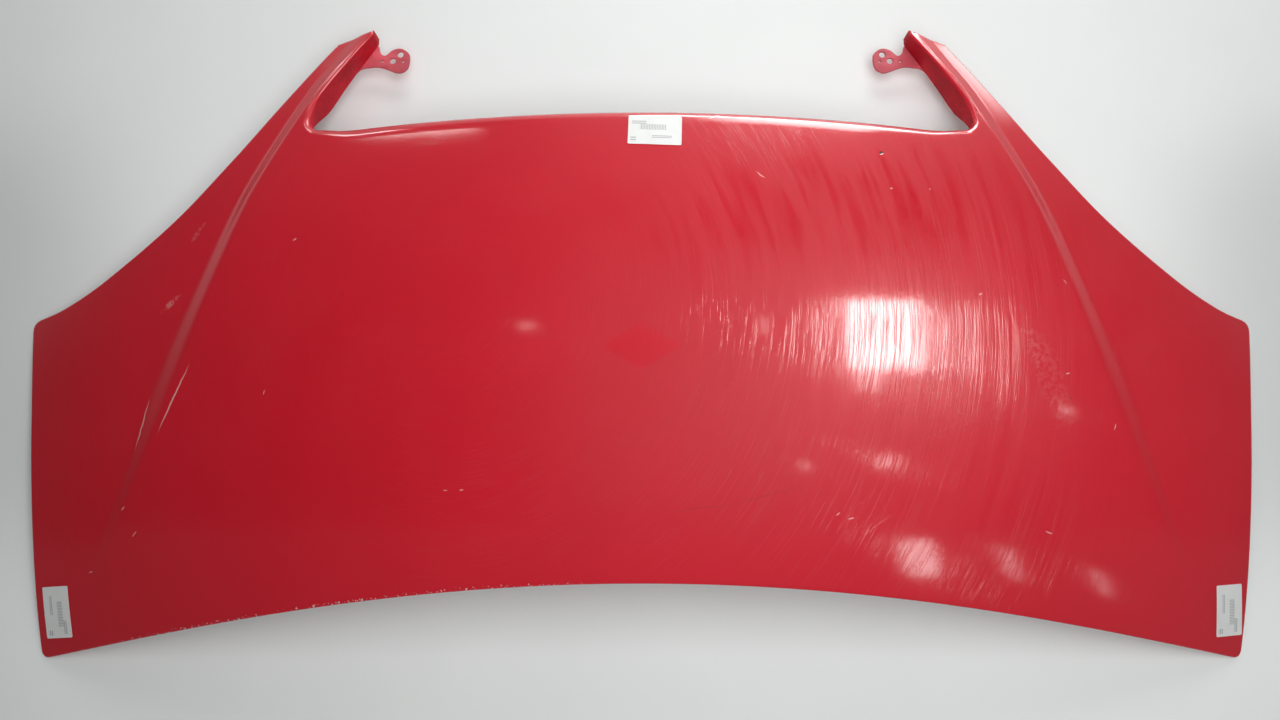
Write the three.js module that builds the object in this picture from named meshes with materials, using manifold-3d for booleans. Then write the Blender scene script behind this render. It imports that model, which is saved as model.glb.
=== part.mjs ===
// Car bonnet with its inner panel and fittings, in millimetres, +Z up.
// It lies crown up on its front corners and shoulders. +Y is the windscreen side,
// and +X is the car's left. The body is symmetric, so curves are given for x >= 0.

import * as THREE from 'three';
import { mergeVertices } from 'three/addons/utils/BufferGeometryUtils.js';
import Module from 'manifold-3d';

const wasm = await Module();
wasm.setup();

// Driving dimensions: crown of the outer skin
const CROWN_HEIGHT = 165;
const CROWN_PEAK_Y = 350;
const CROWN_RADIUS = 1060;
const SIDE_DROP_FRONT = 117;
const SIDE_DROP_SHOULDER = 155.5;
const SIDE_DROP_TIP = 172.5;

// Driving dimensions: outline
const CORNER_X = 707;
const FRONT_ARCH = 101;
const FRONT_FLATNESS = 0.2;
const SHOULDER = new THREE.Vector2(748, 399);
const CORNER_ROUND = 10;
const REAR_EDGE_Y = 624;
const REAR_EDGE_SAG = 12;
const NOTCH_HALF_WIDTH = 399;
const NOTCH_CORNER_RADIUS = 18;
const TIP_INNER = new THREE.Vector2(331, 751);
const TIP_OUTER = new THREE.Vector2(373, 736);
const SIDE_BOW = 3;
const WING_LINE = [[437, 650], [486, 587], [552, 515], [640, 447], [700, 414]];
const HORN_LINE = [[655, 394], [683, 378], [710, 360]];

// Driving dimensions: swage line, as x, half width and height of its step against y
const SWAGE_X = [[0, 668], [117, 623], [213, 583], [328, 541], [431, 502], [534, 463],
  [605, 428.5], [660, 400], [685, 386], [711, 368.5], [752, 344]];
const SWAGE_HALF_WIDTH = [[0, 5], [113, 6], [233, 8], [296, 12], [433, 9], [603, 6.5], [753, 5.5]];
const SWAGE_STEP = [[60, 0], [113, 1], [233, 4.5], [303, 6.4], [433, 5], [603, 3.8], [753, 3]];

// Driving dimensions: sheets, hems and flanges
const SHEET = 0.8;
const GAP = 0.3;
const SEAT_GAP = 0.9;
const LABEL_GAP = 0.45;
const HOLE_CLEARANCE = 1;
const HEM_RETURN = 8;
const HEM_BAND = 12;
const CHANNEL_TOE = 27;
const CHANNEL_DEPTH = 20;
const CHANNEL_SIDE_DEPTH = 9;
const CHANNEL_SHALLOWS = [300, 700];
const REAR_ROLL_RADIUS = 12;
const WALL_FOLD = 4;
const UPTURN = 8;
const HINGE_SEAT_Z = 28;
const HORN_FLOOR_START_Y = 625;
const HORN_FLOOR_END_Y = 668;

// Driving dimensions: openings of the inner panel, by their corners
const OPENINGS = [
  [[40, 235], [165, 225], [172, 545], [40, 560]],
  [[218, 205], [330, 185], [362, 520], [225, 540]],
  [[385, 165], [495, 135], [478, 420], [415, 500]],
  [[606, 215], [686, 206], [694, 345], [568, 352]],
];
const OPENING_RADIUS = 34;
const OPENING_RUN = 80;
const OPENING_WALL_RUN = 7;
const OPENING_FLANGE = 11;
const OPENING_LIP = 1;
const SEAT_DEPTH = 6;

// Driving dimensions: fittings
const PLATE = 2;
const HINGE_PLATE = 3;
const HINGE_HOLE = 7.5;
const HINGE_HOLES = [[301, 735.8], [310.3, 727.4]];
const HINGE_PILOT = 3;
const HINGE_PILOTS = [[323.5, 727], [297.4, 726.8]];
const HINGE_PLATE_OUTLINE = [
  [352, 715], [338, 719], [327, 719.5], [317, 716.5], [306, 712.5], [298, 712.8], [291, 719],
  [289, 732], [292, 739], [301, 743.8], [311, 741.5], [320, 734.5], [326, 738], [329, 747],
  [338, 748], [354, 737], [372, 716], [389, 692], [396, 674], [382, 674], [368, 693],
];
const LATCH_Y = 160;
const LATCH_PLATE = [120, 56];
const LATCH_PLATE_CORNER = 8;
const STRIKER_PLATE = [62, 30];
const STRIKER_PLATE_CORNER = 6;
const STRIKER_BOLT_SPREAD = 44;
const STRIKER_ROD = 7;
const STRIKER_WIDTH = 22;
const STRIKER_DROP = 34;
const BOLT = 6;
const BOLT_LENGTH = 14;
const BOLT_HEAD_HEIGHT = 4;
const HEX_ACROSS = 10;
const NUT_HEIGHT = 5;
const BUFFER_AT = [600, 84];
const BUFFER_DIAMETER = 24;
const BUFFER_HEIGHT = 13;
const BUFFER_STEM = 16;
const BUFFER_FLANGE = 3;
const BUFFER_CHAMFER = 2;
const PROP_SOCKET_AT = [-372, 300];
const PROP_SOCKET_FLANGE = 26;
const PROP_SOCKET_NECK = 16;
const PROP_SOCKET_BORE = 9;
const PROP_SOCKET_THICKNESS = 2.5;
const PROP_SOCKET_DEPTH = 4;
const LABEL_LENGTH = 60;
const LABEL_WIDTH = 36;
const LABEL_THICKNESS = 0.2;
const LABEL_REAR = { x: 15, y: 597, angle: -2 };
const LABEL_FRONT_LEFT = { x: 688, y: 57, angle: 2 };
const LABEL_FRONT_RIGHT = { x: -683, y: 55, angle: 5 };
const PAD_LENGTH = 26;
const PAD_WIDTH = 8;
const PAD_CORNER = 3;
const PAD_CLEARANCE = 0.75;

// Materials
const paint = new THREE.MeshStandardMaterial({ color: 0xb31d27, roughness: 0.25, metalness: 0 });
const zinc = new THREE.MeshStandardMaterial({ color: 0x9a9c9e, roughness: 0.4, metalness: 1 });
const rubber = new THREE.MeshStandardMaterial({ color: 0x1c1c1c, roughness: 0.8, metalness: 0 });
const plastic = new THREE.MeshStandardMaterial({ color: 0x222222, roughness: 0.5, metalness: 0 });
const mastic = new THREE.MeshStandardMaterial({ color: 0x3a3a38, roughness: 0.9, metalness: 0 });
const paper = new THREE.MeshStandardMaterial({ color: 0xeeece6, roughness: 0.7, metalness: 0 });

// Curves

const lerp = THREE.MathUtils.lerp;
const smoothstep = THREE.MathUtils.smoothstep;

function through(points) {
  const slope = (a, b) => (b[1] - a[1]) / (b[0] - a[0]);
  const last = points.length - 2;
  return (at) => {
    let i = 0;
    while (i < last && at > points[i + 1][0]) i += 1;
    const [start, end] = [points[i], points[i + 1]];
    const span = end[0] - start[0];
    const m0 = slope(points[Math.max(i - 1, 0)], end) * span;
    const m1 = slope(start, points[Math.min(i + 2, last + 1)]) * span;
    const s = THREE.MathUtils.clamp((at - start[0]) / span, 0, 1);
    const beyond = (at - start[0]) / span - s;
    const eased = s * s * (3 - 2 * s);
    return lerp(start[1], end[1], eased) + m0 * s * (1 - s) ** 2 - m1 * s * s * (1 - s)
      + beyond * (s > 0 ? m1 : m0);
  };
}

const swageX = through(SWAGE_X);
const swageHalfWidth = through(SWAGE_HALF_WIDTH);
const swageStep = through(SWAGE_STEP);
const hornX = through([[notchTop(), NOTCH_HALF_WIDTH], ...HORN_LINE, [TIP_INNER.y, TIP_INNER.x]]);
const wingY = through([[TIP_OUTER.x, TIP_OUTER.y], ...WING_LINE, [SHOULDER.x, SHOULDER.y]]);

function frontEdge(x) {
  const s = (x / CORNER_X) ** 2;
  return new THREE.Vector2(x, FRONT_ARCH * (1 - (1 + FRONT_FLATNESS) * s + FRONT_FLATNESS * s * s));
}

function sideEdge(y) {
  const s = y / SHOULDER.y;
  return new THREE.Vector2(lerp(CORNER_X, SHOULDER.x, s) - 4 * SIDE_BOW * s * (1 - s), y);
}

function wingEdge(x) {
  return new THREE.Vector2(x, wingY(x));
}

function rearEdgeY(x) {
  return REAR_EDGE_Y - REAR_EDGE_SAG * (x / (NOTCH_HALF_WIDTH - NOTCH_CORNER_RADIUS)) ** 2;
}

function rearEdge(x) {
  return new THREE.Vector2(x, rearEdgeY(x));
}

function notchTop() {
  return REAR_EDGE_Y - REAR_EDGE_SAG + NOTCH_CORNER_RADIUS;
}

function notchCorner(turn) {
  const angle = -Math.PI / 2 * (1 - turn);
  return new THREE.Vector2(
    NOTCH_HALF_WIDTH + NOTCH_CORNER_RADIUS * (Math.cos(angle) - 1),
    notchTop() + NOTCH_CORNER_RADIUS * Math.sin(angle),
  );
}

function hornEdge(y) {
  return new THREE.Vector2(hornX(y), y);
}

function roundedMiddle(from, apex, to) {
  return apex.clone().multiplyScalar(0.5).addScaledVector(from, 0.25).addScaledVector(to, 0.25);
}

// Surfaces

function sideDrop(y) {
  const shoulder = y / SHOULDER.y;
  const tip = y / TIP_INNER.y;
  const share = SHOULDER.y / TIP_INNER.y;
  return SIDE_DROP_FRONT * (1 - shoulder) * (1 - tip)
    + SIDE_DROP_SHOULDER * shoulder * (1 - tip) / (1 - share)
    + SIDE_DROP_TIP * tip * (1 - shoulder) / (1 - 1 / share);
}

function crownZ(x, y) {
  const lengthwise = (y - CROWN_PEAK_Y) ** 2 / (2 * CROWN_RADIUS);
  const across = sideDrop(y) * (x / SHOULDER.x) ** 2;
  const side = Math.abs(x);
  const halfWidth = swageHalfWidth(y);
  const beyondCrease = (side - swageX(y) + halfWidth) / (2 * halfWidth);
  const step = Math.max(swageStep(y), 0) * THREE.MathUtils.clamp(beyondCrease, 0, 1);
  return CROWN_HEIGHT - lengthwise - across - step;
}

function rearRoll(x, y) {
  const side = Math.abs(x);
  const onDeck = y < notchCorner(0.5).y || side < TIP_INNER.x - 10;
  const faded = smoothstep(side, NOTCH_HALF_WIDTH - 70, NOTCH_HALF_WIDTH - 8);
  return onDeck ? REAR_ROLL_RADIUS * (1 - faded) : 0;
}

function skinZ(x, y) {
  const radius = rearRoll(x, y);
  const inset = THREE.MathUtils.clamp(rearEdgeY(x) - y, 0, radius);
  return crownZ(x, y) - (radius - Math.sqrt(radius ** 2 - (radius - inset) ** 2));
}

function channelZ(x, y) {
  const floor = HINGE_SEAT_Z + SHEET / 2;
  const depth = lerp(CHANNEL_DEPTH, CHANNEL_SIDE_DEPTH, smoothstep(Math.abs(x), ...CHANNEL_SHALLOWS));
  return lerp(crownZ(x, y) - depth, floor, smoothstep(y, HORN_FLOOR_START_Y, HORN_FLOOR_END_Y));
}

function normalAt(height, x, y) {
  const reach = 1;
  const alongX = height(x + reach, y) - height(x - reach, y);
  const alongY = height(x, y + reach) - height(x, y - reach);
  return new THREE.Vector3(-alongX, -alongY, 2 * reach).normalize();
}

// Nets: rows of plan points that share one layout between the skin and the inner panel

const MAIN_COLUMNS = 6;
const FLANK_COLUMNS = 4;
const SIDE_ROWS = 5;
const WING_ROWS = 7;
const HORN_ROWS = 6;
const ROLL_INSETS = [12, 5, 1.6];
const MAIN_ROWS = SIDE_ROWS + WING_ROWS + 2 - ROLL_INSETS.length;
const SPLIT_X = NOTCH_HALF_WIDTH - 7;

function steps(from, to, count) {
  return Array.from({ length: count }, (_, i) => lerp(from, to, (i + 1) / count));
}

function shares(a, b) {
  const lengths = (points) => {
    const sums = points.map(() => 0);
    for (let i = 1; i < points.length; i += 1) {
      sums[i] = sums[i - 1] + points[i].distanceTo(points[i - 1]);
    }
    return sums.map((sum) => sum / sums[sums.length - 1]);
  };
  const other = lengths(b);
  return lengths(a).map((share, i) => (share + other[i]) / 2);
}

function patch(bottom, top, left, right) {
  const across = shares(bottom, top);
  const along = shares(left, right);
  const end = bottom.length - 1;
  return left.map((_, i) => bottom.map((__, j) => {
    const [u, v] = [across[j], along[i]];
    return new THREE.Vector2()
      .addScaledVector(bottom[j], 1 - v).addScaledVector(top[j], v)
      .addScaledVector(left[i], 1 - u).addScaledVector(right[i], u)
      .addScaledVector(bottom[0], -(1 - u) * (1 - v)).addScaledVector(bottom[end], -u * (1 - v))
      .addScaledVector(top[0], -(1 - u) * v).addScaledVector(top[end], -u * v);
  }));
}

function leftLine() {
  const front = frontEdge(SPLIT_X);
  const notch = notchCorner(0.5);
  const lastMain = notch.y - ROLL_INSETS[0];
  const heights = [0, HEM_BAND, CHANNEL_TOE].map((lift) => front.y + lift);
  heights.push(...steps(front.y + CHANNEL_TOE, lastMain, MAIN_ROWS));
  heights.push(...ROLL_INSETS.slice(1).map((inset) => notch.y - inset));
  const split = heights.map((y) => front.clone().lerp(notch, (y - front.y) / (notch.y - front.y)));
  const horn = steps(notchTop(), TIP_INNER.y, HORN_ROWS - 1).map(hornEdge);
  return { split: [...split, notch], horn: [notchCorner(1), ...horn] };
}

function rightLine() {
  const corner = new THREE.Vector2(CORNER_X, 0);
  const shoulderStart = sideEdge(SHOULDER.y - CORNER_ROUND);
  const shoulderEnd = wingEdge(SHOULDER.x - CORNER_ROUND);
  const notchX = through(WING_LINE.map(([x, y]) => [-y, x]))(-notchCorner(0.5).y);
  return [
    roundedMiddle(frontEdge(CORNER_X - CORNER_ROUND), corner, sideEdge(CORNER_ROUND)),
    sideEdge(HEM_BAND),
    sideEdge(CHANNEL_TOE),
    ...steps(CHANNEL_TOE, shoulderStart.y, SIDE_ROWS).map(sideEdge),
    roundedMiddle(shoulderStart, SHOULDER, shoulderEnd),
    shoulderEnd,
    ...steps(shoulderEnd.x, notchX, WING_ROWS).map(wingEdge),
    ...steps(notchX, TIP_OUTER.x, HORN_ROWS).map(wingEdge),
  ];
}

function creaseLine(left, right, side) {
  const last = left.length - 1;
  const tipRun = TIP_OUTER.x - TIP_INNER.x;
  const creaseX = (y) => swageX(y) + side * swageHalfWidth(y);
  return left.map((start, i) => {
    const point = start.clone();
    for (let round = 0; round < 8; round += 1) {
      point.x = creaseX(point.y);
      const share = (point.x - start.x) / (right[i].x - start.x);
      point.y = lerp(start.y, right[i].y, share);
      if (i < 3) point.y = frontEdge(point.x).y + [0, HEM_BAND, CHANNEL_TOE][i];
      if (i === last) point.y = lerp(TIP_INNER.y, TIP_OUTER.y, (point.x - TIP_INNER.x) / tipRun);
    }
    return point;
  });
}

function flankRows(crease, right) {
  return crease.map((inner, i) => {
    const outer = right[i];
    const width = inner.distanceTo(outer);
    const band = Math.min(HEM_BAND, 0.4 * width);
    const toe = Math.min(CHANNEL_TOE, 0.75 * width);
    const distances = [0, ...steps(0, width - toe, FLANK_COLUMNS - 2), width - band, width];
    return distances.map((distance) => {
      const point = inner.clone().lerp(outer, distance / width);
      if (i === 0 && distance < width) point.y = frontEdge(point.x).y;
      return point;
    });
  });
}

function planRows() {
  const { split, horn } = leftLine();
  const left = [...split, ...horn];
  const right = rightLine();
  const innerCrease = creaseLine(left, right, -1);
  const outerCrease = creaseLine(left, right, 1);
  const columns = [0, ...steps(0, NOTCH_HALF_WIDTH - 60, MAIN_COLUMNS), notchCorner(0).x];
  const centreFront = frontEdge(0).y;
  const centreHeights = split.map(({ y }, i) => {
    const lift = y - split[0].y;
    const inset = split[split.length - 1].y - y;
    if (i < 3) return centreFront + lift;
    if (inset <= ROLL_INSETS[0] + 0.001) return REAR_EDGE_Y - inset;
    return lerp(centreFront + CHANNEL_TOE, REAR_EDGE_Y - ROLL_INSETS[0], (i - 2) / MAIN_ROWS);
  });
  const main = patch(
    [...columns.map(frontEdge), split[0]],
    [...columns.map(rearEdge), split[split.length - 1]],
    centreHeights.map((y) => new THREE.Vector2(0, y)),
    split,
  );
  const between = (from, to) => [0, ...steps(0, 1, FLANK_COLUMNS)].map((t) => from.clone().lerp(to, t));
  const last = left.length - 1;
  const deckFront = between(left[0], innerCrease[0]).map(({ x }) => frontEdge(x));
  const deck = patch(deckFront, between(left[last], innerCrease[last]), left, innerCrease);
  const flank = flankRows(outerCrease, right);
  return { main, wing: deck.map((row, i) => [...row, ...flank[i]]) };
}

const plan = planRows();

function outlineChains() {
  const { main, wing } = plan;
  const top = wing.length - 1;
  const end = wing[0].length - 1;
  const notchRow = main.length - 1;
  const hem = [];
  main[0].slice(0, -1).forEach((point, j) => hem.push({ point, inward: main[1][j] }));
  wing[0].slice(0, -1).forEach((point, j) => hem.push({ point, inward: wing[1][j] }));
  hem.push({ point: wing[0][end], inward: wing[1][end - 1] });
  for (let i = 1; i < top - 1; i += 1) hem.push({ point: wing[i][end], inward: wing[i][end - 1] });
  const wall = [...wing[top]].reverse().slice(1);
  for (let i = top - 1; i > notchRow; i -= 1) wall.push(wing[i][0]);
  wall.push(...[...main[notchRow]].reverse());
  return { hem, wall, tip: wing[top] };
}

// Sheets: a net of points joined by four-sided cells, thickened to both sides

class Net {
  constructor() {
    this.points = [];
    this.cells = [];
    this.known = new Map();
  }

  add(point) {
    const key = point.toArray().map((value) => Math.round(value * 1000)).join(' ');
    if (!this.known.has(key)) {
      this.known.set(key, this.points.length);
      this.points.push(point.clone());
    }
    return this.known.get(key);
  }

  addRows(rows, mirrored = false) {
    const ids = rows.map((row) => row.map((point) => this.add(point)));
    for (let i = 1; i < ids.length; i += 1) {
      for (let j = 1; j < ids[i].length; j += 1) {
        const cell = [ids[i - 1][j - 1], ids[i - 1][j], ids[i][j], ids[i][j - 1]];
        this.cells.push(mirrored ? [...cell.slice(1), cell[0]] : cell);
      }
    }
  }

  addBothSides(rows) {
    const mirrored = rows.map((row) => row.map(({ x, y, z }) => new THREE.Vector3(-x, y, z)).reverse());
    this.addRows(rows);
    this.addRows(mirrored, true);
  }

  normals() {
    const sums = this.points.map(() => new THREE.Vector3());
    const cellNormals = this.cells.map(([a, b, c, d]) => {
      const diagonal = this.points[c].clone().sub(this.points[a]);
      const other = this.points[d].clone().sub(this.points[b]);
      return diagonal.cross(other).normalize();
    });
    this.cells.forEach((cell, i) => cell.forEach((id) => sums[id].add(cellNormals[i])));
    sums.forEach((sum) => sum.normalize());
    const cosines = this.points.map(() => 1);
    this.cells.forEach((cell, i) => cell.forEach((id) => {
      cosines[id] = Math.min(cosines[id], cellNormals[i].dot(sums[id]));
    }));
    return sums.map((sum, i) => sum.multiplyScalar(1 / Math.max(cosines[i], 0.5)));
  }

  thickened(thickness) {
    const normals = this.normals();
    const count = this.points.length;
    const positions = [1, -1].flatMap((side) => this.points.flatMap(
      (point, i) => point.clone().addScaledVector(normals[i], side * thickness / 2).toArray(),
    ));
    const index = [];
    const edgesOf = (cell) => cell.map((id, k) => `${id} ${cell[(k + 1) % 4]}`);
    const used = new Set(this.cells.flatMap(edgesOf));
    for (const cell of this.cells) {
      const [a, b, c, d] = cell;
      index.push(a, b, c, a, c, d);
      index.push(count + c, count + b, count + a, count + d, count + c, count + a);
      cell.forEach((from, k) => {
        const to = cell[(k + 1) % 4];
        if (!used.has(`${to} ${from}`)) index.push(to, from, count + from, to, count + from, count + to);
      });
    }
    const geometry = new THREE.BufferGeometry();
    geometry.setAttribute('position', new THREE.Float32BufferAttribute(positions, 3));
    geometry.setIndex(index);
    return geometry;
  }
}

function lifted(rows, height) {
  return rows.map((row) => row.map(({ x, y }) => new THREE.Vector3(x, y, height(x, y))));
}

function keyOf(point) {
  return `${point.x.toFixed(2)} ${point.y.toFixed(2)}`;
}

function surfaceNormals() {
  const net = new Net();
  net.addBothSides(lifted(plan.main, skinZ));
  net.addBothSides(lifted(plan.wing, skinZ));
  const normals = net.normals();
  return new Map(net.points.map((point, i) => [keyOf(point), normals[i]]));
}

const skinNormals = surfaceNormals();
const chains = outlineChains();

function outward(points, i) {
  const before = i > 0 ? points[i - 1] : new THREE.Vector2(-points[1].x, points[1].y);
  const isLast = i === points.length - 1;
  const after = isLast ? new THREE.Vector2(-points[i - 1].x, points[i - 1].y) : points[i + 1];
  const arriving = points[i].clone().sub(before).normalize();
  const leaving = after.clone().sub(points[i]).normalize();
  if (i === 0 && points[0].x > 0) arriving.copy(leaving);
  const cosine = arriving.dot(leaving);
  const mitre = arriving.add(leaving).divideScalar(1 + cosine);
  return new THREE.Vector3(mitre.y, -mitre.x, 0);
}

// Outer skin: crowned panel, hemmed at its front, sides and wing lines, and turned down
// into a wall along the horns and the windscreen edge

function hemStrip() {
  const radius = (SHEET + 2 * GAP + SHEET) / 2;
  const points = chains.hem.map(({ point }) => point);
  return chains.hem.map(({ point, inward }, i) => {
    const normal = skinNormals.get(keyOf(point));
    const base = new THREE.Vector3(point.x, point.y, skinZ(point.x, point.y));
    const next = new THREE.Vector3(inward.x, inward.y, skinZ(inward.x, inward.y));
    const side = outward(points, i);
    side.addScaledVector(normal, -side.dot(normal) / normal.lengthSq()).normalize();
    const fold = [0, 0.25, 0.5, 0.75, 1].map((turn) => {
      const angle = Math.PI * turn;
      return base.clone().addScaledVector(side, radius * Math.sin(angle))
        .addScaledVector(normal, -radius * (1 - Math.cos(angle)));
    });
    const strip = next.clone().sub(base);
    const reach = Math.min(HEM_RETURN, 0.65 * strip.length());
    return [...fold, fold[4].clone().addScaledVector(strip.normalize(), reach)];
  });
}

function wallFold({ x, y }) {
  return WALL_FOLD * (1 - rearRoll(x, y) / REAR_ROLL_RADIUS);
}

function wallStrip() {
  return chains.wall.map((point, i) => {
    const side = outward(chains.wall, i);
    const top = skinZ(point.x, point.y);
    const bottom = channelZ(point.x, point.y) - SHEET / 2;
    const fold = wallFold(point);
    const place = (out, z) => new THREE.Vector3(point.x, point.y, z).addScaledVector(side, out);
    return [
      place(0, top),
      place(0.5 * fold, top - 0.13 * WALL_FOLD),
      place(0.87 * fold, top - 0.5 * WALL_FOLD),
      place(fold, top - WALL_FOLD),
      place(fold, bottom),
    ];
  });
}

function transposed(rows) {
  return rows[0].map((_, j) => rows.map((row) => row[j]));
}

function outerSkin() {
  const net = new Net();
  net.addBothSides(lifted(plan.main, skinZ));
  net.addBothSides(lifted(plan.wing, skinZ));
  net.addBothSides(transposed(hemStrip()).reverse());
  net.addBothSides(transposed(wallStrip()).reverse());
  return net.thickened(SHEET);
}

// Inner panel: its edge lies in the hem, its channel stands off the skin, and its
// openings have walls that rise to flanges close under the skin

function innerPoints() {
  const hemmed = new Set(chains.hem.flatMap(({ point, inward }) => [keyOf(point), keyOf(inward)]));
  const end = chains.tip.length - 1;
  const top = plan.wing.length - 1;
  for (let i = top - 1; i <= top; i += 1) {
    hemmed.add(keyOf(plan.wing[i][end]));
    hemmed.add(keyOf(plan.wing[i][end - 1]));
  }
  const walls = new Map(chains.wall.map((point, i) => [keyOf(point), outward(chains.wall, i)]));
  walls.set(keyOf(chains.tip[end]), outward(chains.wall, 0));
  return ({ x, y }) => {
    const key = keyOf({ x, y });
    const point = new THREE.Vector3(x, y, channelZ(x, y));
    if (hemmed.has(key)) {
      point.z = skinZ(x, y);
      point.addScaledVector(skinNormals.get(key), -(SHEET + GAP));
    }
    if (walls.has(key)) {
      const fold = hemmed.has(key) ? 0 : wallFold({ x, y });
      point.addScaledVector(walls.get(key), fold - SHEET - GAP);
    }
    return point;
  };
}

function roundedOutline(corners, radius, runs = []) {
  const perCorner = 3;
  const arcs = corners.map((corner, i) => {
    const before = corners[(i + corners.length - 1) % corners.length];
    const after = corners[(i + 1) % corners.length];
    const start = corner.clone().add(before.clone().sub(corner).setLength(radius));
    const finish = corner.clone().add(after.clone().sub(corner).setLength(radius));
    return new THREE.QuadraticBezierCurve(start, corner, finish).getPoints(perCorner);
  });
  return arcs.flatMap((arc, i) => {
    const next = arcs[(i + 1) % arcs.length][0];
    const between = steps(0, 1, runs[i] ?? 1).slice(0, -1);
    return [...arc, ...between.map((t) => arc[perCorner].clone().lerp(next, t))];
  });
}

function insetCorners(corners, distance) {
  return corners.map((corner, i) => {
    const before = corner.clone().sub(corners[(i + corners.length - 1) % corners.length]).normalize();
    const after = corners[(i + 1) % corners.length].clone().sub(corner).normalize();
    const inBefore = new THREE.Vector2(-before.y, before.x);
    const inAfter = new THREE.Vector2(-after.y, after.x);
    const scale = distance / (1 + inBefore.dot(inAfter));
    return corner.clone().addScaledVector(inBefore.add(inAfter), scale);
  });
}

function openingLoop(corners, inset) {
  const runs = corners.map((corner, i) => {
    const length = corner.distanceTo(corners[(i + 1) % corners.length]);
    return Math.ceil(length / OPENING_RUN);
  });
  return roundedOutline(insetCorners(corners, inset), OPENING_RADIUS - inset, runs);
}

function toSolid(geometry) {
  const bare = geometry.clone();
  bare.deleteAttribute('normal');
  bare.deleteAttribute('uv');
  const merged = mergeVertices(bare, 1e-4);
  return new wasm.Manifold(new wasm.Mesh({
    numProp: 3,
    vertProperties: new Float32Array(merged.attributes.position.array),
    triVerts: new Uint32Array(merged.index.array),
  }));
}

function toGeometry(solid) {
  const { vertProperties, triVerts } = solid.getMesh();
  const geometry = new THREE.BufferGeometry();
  geometry.setAttribute('position', new THREE.BufferAttribute(vertProperties, 3));
  geometry.setIndex(new THREE.BufferAttribute(triVerts, 1));
  return geometry;
}

function prism(points, from, to, holes = []) {
  const shape = new THREE.Shape(points);
  shape.holes.push(...holes);
  const geometry = new THREE.ExtrudeGeometry(shape, { depth: to - from, bevelEnabled: false });
  return geometry.translate(0, 0, from);
}

function cylinder(diameter, from, to, sides = 20) {
  const geometry = new THREE.CylinderGeometry(diameter / 2, diameter / 2, to - from, sides);
  return geometry.rotateX(Math.PI / 2).translate(0, 0, (from + to) / 2);
}

function openingCollar(corners) {
  const loops = [
    [-OPENING_LIP / 2, (x, y) => channelZ(x, y) - OPENING_LIP],
    [OPENING_WALL_RUN, (x, y) => crownZ(x, y) - SEAT_DEPTH],
    [OPENING_WALL_RUN + OPENING_FLANGE, (x, y) => crownZ(x, y) - SEAT_DEPTH],
  ];
  const net = new Net();
  net.addRows(loops.map(([inset, height]) => {
    const loop = openingLoop(corners, inset);
    return [...loop, loop[0]].map(({ x, y }) => new THREE.Vector3(x, y, height(x, y)));
  }));
  return toSolid(net.thickened(SHEET));
}

function mirroredCorners(corners) {
  return corners.map(([x, y]) => [-x, y]).reverse();
}

function allOpenings() {
  const both = [...OPENINGS, ...OPENINGS.map(mirroredCorners)];
  return both.map((corners) => corners.map(([x, y]) => new THREE.Vector2(x, y)));
}

function seatFrame(height, x, y) {
  const frame = new THREE.Object3D();
  frame.position.set(x, y, height(x, y));
  frame.quaternion.setFromUnitVectors(new THREE.Vector3(0, 0, 1), normalAt(height, x, y));
  frame.updateMatrix();
  return frame;
}

const latchFrame = seatFrame(channelZ, 0, LATCH_Y);
const propFrame = seatFrame(channelZ, ...PROP_SOCKET_AT);

function innerPanel() {
  const net = new Net();
  const seat = innerPoints();
  net.addBothSides(plan.main.map((row) => row.map(seat)));
  net.addBothSides(plan.wing.map((row) => row.map(seat)));
  const flange = chains.wall.slice(1).map((point) => {
    const foot = seat(point);
    return [foot, foot.clone().setZ(foot.z + UPTURN)];
  });
  net.addBothSides(transposed(flange).reverse());
  const cutReach = 2 * CROWN_HEIGHT;
  const holeReach = CHANNEL_DEPTH / 2;
  let panel = toSolid(net.thickened(SHEET));
  for (const corners of allOpenings()) {
    panel = panel.subtract(toSolid(prism(openingLoop(corners, SHEET / 4), -cutReach, cutReach)));
    panel = panel.add(openingCollar(corners));
  }
  for (const x of [-STRIKER_BOLT_SPREAD / 2, STRIKER_BOLT_SPREAD / 2]) {
    const hole = cylinder(BOLT + HOLE_CLEARANCE, -holeReach, holeReach).translate(x, 0, 0);
    hole.applyMatrix4(latchFrame.matrix);
    panel = panel.subtract(toSolid(hole));
  }
  const propHole = cylinder(PROP_SOCKET_NECK + HOLE_CLEARANCE, -holeReach, holeReach);
  propHole.applyMatrix4(propFrame.matrix);
  return toGeometry(panel.subtract(toSolid(propHole)));
}

// Fittings

function ring(x, y, diameter, sides = 16) {
  return steps(0, 2 * Math.PI, sides).map((angle) => new THREE.Vector2(
    x + diameter / 2 * Math.cos(angle),
    y + diameter / 2 * Math.sin(angle),
  ));
}

function circle(x, y, diameter) {
  return new THREE.Path(ring(x, y, diameter));
}

function hingePlate(side) {
  const place = ([x, y]) => new THREE.Vector2(side * x, y);
  const holes = [
    ...HINGE_HOLES.map(place).map(({ x, y }) => circle(x, y, HINGE_HOLE)),
    ...HINGE_PILOTS.map(place).map(({ x, y }) => circle(x, y, HINGE_PILOT)),
  ];
  const top = HINGE_SEAT_Z - GAP;
  return prism(HINGE_PLATE_OUTLINE.map(place), top - HINGE_PLATE, top, holes);
}

function rectangle([width, length], corner) {
  const [w, l] = [width / 2, length / 2];
  const corners = [[-w, -l], [w, -l], [w, l], [-w, l]].map(([x, y]) => new THREE.Vector2(x, y));
  return roundedOutline(corners, corner);
}

function boltHoles() {
  return [-1, 1].map((side) => circle(side * STRIKER_BOLT_SPREAD / 2, 0, BOLT + 2 * GAP));
}

function latchPlate() {
  const bottom = SHEET / 2 + GAP;
  return prism(rectangle(LATCH_PLATE, LATCH_PLATE_CORNER), bottom, bottom + PLATE, boltHoles());
}

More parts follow.
